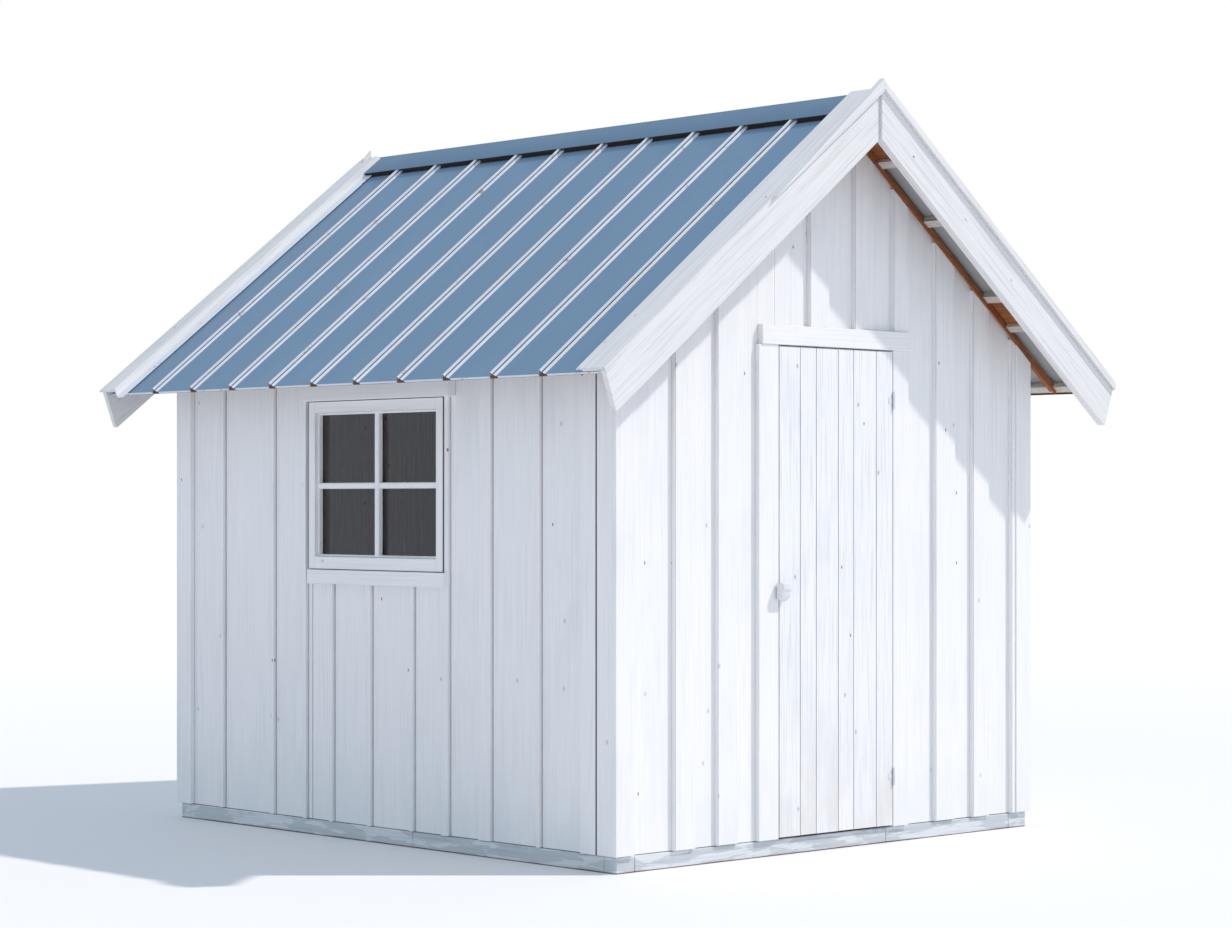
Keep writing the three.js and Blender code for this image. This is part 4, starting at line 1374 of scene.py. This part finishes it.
@dataclass
class RoofSheets:
    """Standing-seam sheets of satin coated steel, with the ridge cap over them."""

    rib_pitch: float = 0.272
    rib_count: int = 10
    first_rib: float = -1.233
    sheet: float = 1.6 * MM
    seam: Sequence[Numbers] = (
        (-26, 0.0), (-20, 1.0), (-16, 3.6), (-12.5, 6.6), (-9.5, 7.8), (-8.0, 7.4), (-7.2, 1.2),
        (-3.4, 1.2), (-3.2, 9.0), (-2.8, 16.0), (-1.6, 17.6), (2.5, 18.0), (6.0, 17.4),
        (8.0, 15.0), (9.6, 9.0), (12.0, 4.0), (15.0, 1.4), (19.0, 0.0),
    )
    lip: float = 9 * MM
    eave_inset: float = 8 * MM                # the sheet's top edge stops short of the ridge
    cap_wing: float = 125 * MM                # the cap's width down the slope
    cap_rise: float = 18.6 * MM               # its height over the pan
    seam_foot: tuple[float, float] = (-27.0, 21.0)    # clearance of the seam, in mm

    def section(self, start: float, end: float) -> list[tuple[float, float]]:
        """Draws the sheet's section from one verge to the other.

        Args:
            start: Y of the first verge.
            end: Y of the other.

        Returns:
            The points in (Y, Z).
        """
        points = [(start, 0.0)]
        for index in range(self.rib_count):
            middle = self.first_rib + index * self.rib_pitch
            points += [(middle + y * MM, z * MM) for y, z in self.seam]
        points.append((end, 0.0))
        return points

    def part_of_seam(self, face: bpy.types.MeshPolygon) -> int:
        """Tells which finish a face of the flat sheet takes.

        Args:
            face: Face before the sheet has its thickness.

        Returns:
            Material index: 0 pan, 1 seam or lip, 2 slot, 3 far edge of the seam.
        """
        nearest = round((face.center.y - self.first_rib) / self.rib_pitch)
        across = (face.center.y - self.first_rib - nearest * self.rib_pitch) / MM
        has_rib = 0 <= nearest < self.rib_count
        on_seam = has_rib and -19 < across < 9.6 and face.center.z > 0.3 * MM
        # The slot takes painted shade, and the seam's far edge a painted highlight.
        if on_seam and -8.2 < across < -3.2:
            return 2
        if has_rib and 3.0 < across < 12.0:
            return 3
        return 1 if on_seam or face.center.z < -1 * MM else 0

    def build_sheet(
        self, side: int, paints: Sequence[Material], backing: Material
    ) -> None:
        """Builds one slope's sheet with a turned-down lip at the eave.

        Args:
            side: -1 for the left slope, 1 for the right.
            paints: Finishes of the pan, the seam, its slot and its far edge.
            backing: Finish of the underside.
        """
        node = f"roof_sheet_{HANDS[side]}"
        low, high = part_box(node)
        length = (EAVE_X - self.eave_inset) / SLOPE_COS
        piece = extruded_section(f"{node}_seamed", self.section(low.y, high.y), length, False)
        take_up(piece)
        bpy.ops.object.mode_set(mode="EDIT")
        bpy.ops.mesh.select_all(action="DESELECT")
        bpy.ops.mesh.select_mode(type="EDGE")
        live = bmesh.from_edit_mesh(piece.data)
        for edge in live.edges:
            edge.select_set(all(abs(v.co.x) < 1e-6 for v in edge.verts)
                            and max(v.co.z for v in edge.verts) < 0.5 * MM)
        bmesh.update_edit_mesh(piece.data)
        fold = {"value": (0.2 * MM, 0, -self.lip)}
        bpy.ops.mesh.extrude_edges_move(TRANSFORM_OT_translate=fold)
        leave_edit_mode()
        face_up(piece)
        for face in piece.data.polygons:
            face.material_index = self.part_of_seam(face)
        for paint in [*paints, *paints]:
            piece.data.materials.append(paint)
        apply_modifier(piece, "SOLIDIFY", thickness=self.sheet, offset=-1.0, use_rim=True,
                       material_offset=4)
        for face in piece.data.polygons:
            face.material_index = min(face.material_index, 4)
        lay_on_slope(piece, side)
        smooth(piece, 35)
        dress(piece, [*paints, backing], replaced=[node])

    def build_plugs(self, side: int, rust: Material) -> None:
        """Builds the seams' rusty closures and painted shade under the lip and the ridge cap.

        Args:
            side: -1 for the left slope, 1 for the right.
            rust: Finish of the closures.
        """
        hand = HANDS[side]
        mesh = BoardMesh(f"seam_plugs_{hand}", 71)
        for index in range(self.rib_count):
            middle = self.first_rib + index * self.rib_pitch
            for first, last in (((1, -11, -8), (22, 11, 5)), ((1.5, -2, 5), (18, 7, 14.5))):
                mesh.board(*((x * MM, middle + y * MM, z * MM) for x, y, z in (first, last)))
        low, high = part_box(f"roof_sheet_{hand}")
        # A rust-brown strip just under the lip along the whole eave: rust colour, and painted
        # shade of the dark line beneath the eave edge.
        mesh.board((1.9 * MM, low.y, -self.lip - 3 * MM), (6 * MM, high.y, -3 * MM))
        dress(mesh.finish(1 * MM, side), rust)
        # Painted shade under the ridge cap's edge: a dark block in each gap between the seams, and
        # a thin dark strip on the pan below it.
        cap_shade = BoardMesh(f"ridge_filler_{hand}", 72)
        edge = (EAVE_X - self.cap_wing * SLOPE_COS) / SLOPE_COS
        ribs = [self.first_rib + i * self.rib_pitch for i in range(self.rib_count)]
        stops = [low.y, *ribs, high.y]
        for start, end in zip(stops, stops[1:]):
            near = start + (self.seam_foot[1] * MM if start > low.y else 0.0)
            far = end + self.seam_foot[0] * MM
            cap_shade.board((edge + 1 * MM, near, 0.3 * MM), (edge + 14 * MM, far, 16.5 * MM))
            cap_shade.board((edge - 10 * MM, near, 0.3 * MM), (edge + 0.8 * MM, far, 2.2 * MM))
        dress(cap_shade.finish(0, side), PAINTED_SHADE_STRIP.build(Grain.ALONG_Y))

    def build_cap(self, paint: Material) -> None:
        """Builds the ridge cap with a hem along both edges.

        Args:
            paint: Finish of the cap.
        """
        low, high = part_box("ridge_cap")
        wing, rise = self.cap_wing * SLOPE_COS, self.cap_rise
        half = []
        for planar, above in (
            (wing - 3 * MM, rise - 1.6 * MM), (wing, rise - 1.2 * MM), (wing + 0.4 * MM, rise),
            (wing - 1 * MM, rise + 0.8 * MM), (20 * MM, rise + 1.1 * MM),
            (4 * MM, rise + 0.9 * MM),
        ):
            x = planar + above * SLOPE_SIN
            half.append((x, RIDGE_Z - SLOPE_TAN * planar + above * SLOPE_COS))
        section = [(-x, z) for x, z in half] + [(0.0, RIDGE_Z + (rise + 0.2 * MM) / SLOPE_COS)]
        section += [(x, z) for x, z in reversed(half)]
        piece = extruded_section("ridge_cap_folded", section, high.y - low.y, False)
        turn = Matrix.Rotation(math.pi / 2, 4, "Z") @ Matrix.Scale(-1, 4, (0, 1, 0))
        piece.data.transform(Matrix.Translation((0, low.y, 0)) @ turn)
        face_up(piece)
        apply_modifier(piece, "SOLIDIFY", thickness=0.9 * MM, offset=-1.0, use_rim=True)
        smooth(piece, 30)
        dress(piece, paint, replaced=["ridge_cap"])

    def build(self) -> None:
        """Builds both slopes and the cap."""
        rust = RUSTY_STEEL.build()
        paints = [ROOF_COAT.build(), SEAM_STEEL_AND_HIGHLIGHT.build(), SLOT_PAINTED_SHADE.build(), SEAM_SIDE_HIGHLIGHT.build()]
        backing = BACKING_COAT.build()
        for side in HANDS:
            self.build_sheet(side, paints, backing)
            self.build_plugs(side, rust)
        self.build_cap(RIDGE_COAT.build())


@dataclass
class RoofTimbers:
    """Purlins, the brown boards between and above them, and the verge boards."""

    ridge_offset: float = 0.269
    purlin_width: float = 38 * MM
    purlin_depth: float = 28 * MM
    upper_offset: float = 0.548
    lower_pair: tuple[float, float] = (0.922, 1.072)
    soffit_thickness: float = 12 * MM
    tip: float = 1.459                        # how far out the back flashing reaches
    past_eave: float = 31 * MM
    # Section of the back verge's rolled flashing: Y past its outer edge in m, height in mm.
    roll: Sequence[Numbers] = (
        (0.088, 31.0), (0.080, 33.2), (0.070, 34.4), (0.060, 33.0), (0.052, 27.0),
        (0.046, 16.0), (0.042, 8.0), (0.036, 5.6), (0.002, 4.8), (0.0, 3.8), (0.002, 2.8),
        (0.037, 3.2), (0.047, 7.0), (0.054, 17.0), (0.062, 23.6),
    )

    def along_eave(self, plan: float) -> float:
        """Turns a plan distance into one along the slope.

        Args:
            plan: Distance from the ridge in plan.

        Returns:
            Distance up the slope from the eave.
        """
        return (EAVE_X - plan) / SLOPE_COS

    def build_purlins(self, hand: str, side: int, wash: Material) -> None:
        """Builds one slope's purlins with eased arrises.

        Args:
            hand: "left" or "right", as in the pieces' names.
            side: -1 for the left slope, 1 for the right.
            wash: Finish of the purlins.
        """
        for run in ("ridge", "upper", "eave"):
            node = f"purlin_{run}_{hand}"
            piece = eased_copy(node, f"{node}_batten", 1.5 * MM)
            set_tone(piece, 0.15 + 0.2 * len(run) / 6)
            dress(piece, wash, replaced=[node])
        low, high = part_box(f"purlin_lower_{hand}")
        mesh = BoardMesh(f"purlin_lower_{hand}_battens", 81)
        for plan in self.lower_pair:
            middle = self.along_eave(plan)
            mesh.board((middle - self.purlin_width / 2, low.y, -SHEET_DROP - self.purlin_depth),
                       (middle + self.purlin_width / 2, high.y, -SHEET_DROP))
        dress(mesh.finish(1.5 * MM, side), wash,
              replaced=[f"purlin_lower_{hand}"])

    def build_brown_boards(self, hand: str, side: int) -> None:
        """Builds the bare boards under the sheet and the strips over the gable cladding.

        Args:
            hand: "left" or "right", as in the pieces' names.
            side: -1 for the left slope, 1 for the right.
        """
        low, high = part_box(f"purlin_ridge_{hand}")
        mesh = BoardMesh(f"soffit_boards_{hand}", 91)
        near, far = (self.along_eave(p) for p in self.lower_pair)
        half = self.purlin_width / 2 + 0.3 * MM
        deep = -SHEET_DROP - self.soffit_thickness
        mesh.board((far + half, low.y, deep), (near - half, high.y, -SHEET_DROP))
        ridge, top = self.along_eave(self.ridge_offset), self.along_eave(12 * MM)
        mesh.board((ridge + half, low.y, deep), (top, high.y, -SHEET_DROP))
        dress(mesh.finish(1 * MM, side), DARK_TIMBER.build(Grain.ALONG_Y))

        grain = Grain.LEFT_SLOPE if side < 0 else Grain.RIGHT_SLOPE
        runs = sorted([self.ridge_offset, self.upper_offset, *self.lower_pair], reverse=True)
        for label, face, sign in (("front", FRONT_FACE, 1), ("back", BACK_FACE, -1)):
            strip = BoardMesh(f"gable_strip_{label}_{hand}", 95)
            start = self.along_eave(abs(LEFT_FACE) - 1 * MM)
            end = self.along_eave(0.0) + 0.04
            tail = self.along_eave(EAVE_X - 0.035) if label == "front" else start
            strip.board((tail, face + sign * 0.5 * MM, -CLADDING_DROP - 0.4 * MM),
                        (end, face + sign * 5 * MM, -SIDING_DROP - 0.4 * MM))
            middles = [self.along_eave(plan) for plan in runs]
            edges = [tail, *(m + turn * half for m in middles for turn in (-1, 1)), end]
            for low_edge, high_edge in zip(edges[::2], edges[1::2]):
                strip.board((low_edge, face + sign * 5.5 * MM, -SIDING_DROP - 0.2 * MM),
                            (high_edge, face + sign * 40 * MM, deep - 0.6 * MM))
            leave_edit_mode()
            lay_on_slope(strip.piece, side)
            take_up(strip.piece)
            bpy.ops.object.mode_set(mode="EDIT")
            strip.cut((side * 0.2 * MM, 0, 0), (-side, 0, 0))
            dress(strip.finish(1 * MM), BROWN_TIMBER.build(grain))

    def build_verges(self, hand: str, side: int) -> None:
        """Builds the barge boards, the front caps and the back verge flashings.

        Args:
            hand: "left" or "right", as in the pieces' names.
            side: -1 for the left slope, 1 for the right.
        """
        grain = Grain.LEFT_SLOPE if side < 0 else Grain.RIGHT_SLOPE
        paint = VERGE_PAINT.build(grain)
        for end in ("front", "back"):
            node = f"barge_board_{end}_{hand}"
            piece = eased_copy(node, f"{node}_eased", 2 * MM)
            set_tone(piece, 0.25 if end == "front" else 0.6)
            dress(piece, paint, replaced=[node])
        for node, arris in ((f"verge_cap_front_{hand}", 1.2), (f"verge_strip_{hand}", 0.25)):
            piece = eased_copy(node, f"{node}_eased", arris * MM)
            set_tone(piece, 0.5)
            dress(piece, paint, replaced=[node])
        node = f"verge_cap_back_{hand}"
        low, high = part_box(node)
        section = [(high.y, 23.6), (high.y, 29.5), (high.y - 0.003, 31.0),
                   *((low.y + y, z) for y, z in self.roll)]
        flashing = extruded_section(f"{node}_rolled", [(y, z * MM) for y, z in section],
                                    (EAVE_X + self.past_eave) / SLOPE_COS, True)
        flashing.data.transform(Matrix.Translation((-self.past_eave / SLOPE_COS, 0, 0)))
        lay_on_slope(flashing, side)
        take_up(flashing)
        bpy.ops.object.mode_set(mode="EDIT")
        for reach, way in ((0.15 * MM, -side), (self.tip, side)):
            bpy.ops.mesh.select_all(action="SELECT")
            bpy.ops.mesh.bisect(plane_co=(side * reach, 0, 0), plane_no=(way, 0, 0),
                                use_fill=True, clear_outer=True)
        bpy.ops.mesh.select_all(action="SELECT")
        bpy.ops.mesh.normals_make_consistent(inside=False)
        leave_edit_mode()
        set_tone(flashing, 0.8)
        # The roll's upward faces near its outer edge take the near-white seam finish, partly a
        # painted highlight.
        for face in flashing.data.polygons:
            steel = face.center.y < low.y + 0.041 and face.normal.z > 0.3
            face.material_index = 1 if steel else 0
        smooth(flashing, 35)
        dress(flashing, [paint, SEAM_STEEL_AND_HIGHLIGHT.build()], replaced=[node])
        # Near-black block in the roll's open end: painted shade of its hollow.
        end_blocks = BoardMesh(f"{node}_open_end", 96)
        pan = RIDGE_Z - SLOPE_TAN * self.tip
        end_blocks.board((side * (self.tip + 0.8 * MM), low.y + 52 * MM, pan + 8 * MM),
                     (side * (self.tip - 0.2 * MM), low.y + 74 * MM, pan + 30 * MM))
        if side < 0:
            end_blocks.board((-0.045, high.y - 0.05, RIDGE_Z + 0.005),
                         (-0.003, high.y - 0.036, RIDGE_Z + 0.058), 1)
            end_blocks.cut((-0.003, 0, RIDGE_Z + 0.058), (-0.74, 0, 0.67))
        dress(end_blocks.finish(0.3 * MM), [PAINTED_SHADE_STRIP.build(Grain.UPRIGHT), paint])
        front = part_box(f"barge_board_front_{hand}")[1].y + 1 * MM
        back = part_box(f"verge_cap_front_{hand}")[1].y - 2 * MM
        block = BoardMesh(f"verge_end_block_{hand}", 97)
        block.board((2 * MM, front, 0.5 * MM), (30 * MM, back, 23.2 * MM))
        dress(block.finish(1 * MM, side), paint)

    def build(self) -> None:
        """Builds the timbers of both slopes."""
        wash = WHITEWASH.build(Grain.ALONG_Y)
        for side, hand in HANDS.items():
            self.build_purlins(hand, side, wash)
            self.build_brown_boards(hand, side)
            self.build_verges(hand, side)


# ------------------------------------------------------------------ studio


@dataclass
class Studio:
    """Camera, sun-like key light, pale sky light and floor."""

    camera_place: tuple[float, float, float] = (-8.650, -9.265, 1.367)
    camera_yaw: float = 43.388
    focal_mm: float = 86.86
    shift_up: float = 0.0299
    key_from: tuple[float, float, float] = (0.4575, -0.432, 0.777)
    key_strength: float = 2.3
    key_softness: float = 1.6
    sky: str = "D8E8F7"
    sky_strength: float = 0.82
    key_colour: tuple[float, float, float] = (1.0, 0.94, 0.9)
    floor_size: float = 78.0

    def build_camera(self) -> None:
        """Places the camera level, with the shed framed by a small shift."""
        data = bpy.data.cameras.new("camera")
        data.sensor_width = 36.0
        data.lens = self.focal_mm
        data.shift_y = self.shift_up
        data.clip_end = 500.0
        camera = bpy.data.objects.new("camera", data)
        camera.location = self.camera_place
        camera.rotation_euler = (math.pi / 2, 0.0, -math.radians(self.camera_yaw))
        bpy.context.scene.collection.objects.link(camera)
        bpy.context.scene.camera = camera

    def build_lights(self) -> None:
        """Adds the key light and the sky, which the camera sees as plain white."""
        data = bpy.data.lights.new("key", "SUN")
        data.energy = self.key_strength
        data.angle = math.radians(self.key_softness)
        data.color = self.key_colour
        key = bpy.data.objects.new("key", data)
        key.rotation_euler = Vector(self.key_from).to_track_quat("Z", "Y").to_euler()
        bpy.context.scene.collection.objects.link(key)
        world = bpy.data.worlds.new("studio")
        world.use_nodes = True
        tree = world.node_tree
        tree.nodes.clear()
        light = add_node(tree, "ShaderNodeBackground", None,
                         {"Color": linear(self.sky), "Strength": self.sky_strength})
        seen = add_node(tree, "ShaderNodeBackground", None,
                        {"Color": (1, 1, 1, 1), "Strength": 1.0})
        path = add_node(tree, "ShaderNodeLightPath")
        mix = add_node(tree, "ShaderNodeMixShader", None,
                       {0: path.outputs["Is Camera Ray"], 1: light.outputs[0], 2: seen.outputs[0]})
        add_node(tree, "ShaderNodeOutputWorld", None, {"Surface": mix.outputs[0]})
        bpy.context.scene.world = world
        bpy.context.scene.view_settings.view_transform = "Standard"

    def build_floor(self) -> None:
        """Adds the floor, which isn't part of the object."""
        leave_edit_mode()
        bpy.ops.mesh.primitive_plane_add(size=self.floor_size)
        floor = bpy.context.active_object
        floor.name = "studio_floor"
        floor.data.materials.append(Floor().build())

    def build(self) -> None:
        """Builds the studio."""
        self.build_camera()
        self.build_lights()
        self.build_floor()


# ------------------------------------------------------------------ assembly


def build_walls() -> None:
    """Builds the four walls with their openings and raised boards."""
    paint = WHITE_PAINT.build(Grain.UPRIGHT)
    lining = LINING_TIMBER.build(Grain.UPRIGHT)
    half_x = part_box("back_wall")[1].x
    half_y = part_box("right_wall")[1].y
    doorway = Opening(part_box("door_trim_left")[1].x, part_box("door_trim_right")[0].x,
                      WALL_FOOT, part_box("door_header")[0].z)
    header_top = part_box("door_header")[1].z + 0.5 * MM
    Wall("front_wall", FRONT, -half_x, half_x,
         raised=[(-0.895, -0.785), (-0.668, -0.556), (0.591, 0.715), (0.828, 0.933),
                 (1.077, 1.1035)],
         raised_depth=4 * MM, edge_lath=True,
         nodes=["front_wall_left", "front_wall_right", "front_gable"], paint=paint, lining=lining,
         opening=doorway, raised_over=[(-0.157, -0.045), (0.104, 0.215), (0.334, 0.425)],
         raised_over_foot=header_top, seed=101).build()
    Wall("back_wall", BACK, -half_x, half_x,
         raised=[(x - 0.055, x + 0.055)
                 for x in (-0.88, -0.64, -0.40, -0.16, 0.08, 0.32, 0.56, 0.80)],
         nodes=["back_wall"], paint=paint, lining=lining, seed=102).build()
    play = 3 * MM
    sash = Opening(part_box("window_stile_front")[0].y - play,
                   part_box("window_stile_back")[1].y + play,
                   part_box("window_rail_bottom")[0].z - play,
                   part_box("window_rail_top")[1].z + play)
    sill_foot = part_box("window_sill_board")[0].z - 0.5 * MM
    full = {1.286: 20 * MM, 1.027: 26 * MM, 0.674: 20 * MM, 0.455: 18 * MM, -0.448: 40 * MM,
            -0.698: 69 * MM, -0.980: 18 * MM}
    under = {0.279: 20 * MM, 0.033: 20 * MM, -0.233: 22 * MM}
    step = 23 * MM                        # the lists give slots at the raised face, not behind it
    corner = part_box("corner_board_front_left")[1].y
    flush_low, flush_high = corner + 7.2 * MM, corner + 92 * MM
    Wall("left_wall", LEFT, -half_y, half_y,
         raised=[(y + step + 3 * MM, y + step + 3 * MM + w) for y, w in full.items()],
         flush=[(flush_low, flush_high)], shaded_joints=[(corner + 0.3 * MM, flush_low - 0.3 * MM)],
         nodes=["left_wall_front", "left_wall_back", "left_wall_below_window",
                "left_wall_over_window"],
         paint=paint, lining=lining, opening=sash, raised_depth=7 * MM,
         raised_under=[(y + step + 3 * MM, y + step + 3 * MM + w) for y, w in under.items()],
         raised_under_top=sill_foot, seed=103, slots=[y + step for y in (*full, *under)]).build()
    Wall("right_wall", RIGHT, -half_y, half_y,
         raised=[(y - 0.055, y + 0.055)
                 for y in (-1.02, -0.77, -0.52, -0.27, -0.02, 0.23, 0.48, 0.73, 0.98)],
         nodes=["right_wall"], paint=paint, lining=lining, seed=104).build()


def main() -> None:
    """Builds every sub-assembly in order."""
    logging.basicConfig(level=logging.INFO, format="%(name)s: %(message)s")
    Studio().build()
    upright = WHITE_PAINT.build(Grain.UPRIGHT)
    Base().build()
    build_walls()
    CornerBoards(upright).build()
    Door(DOOR_PAINT.build(Grain.UPRIGHT), upright).build()
    Window(upright).build()
    RoofTimbers().build()
    RoofSheets().build()


if __name__ == "__main__":
    main()
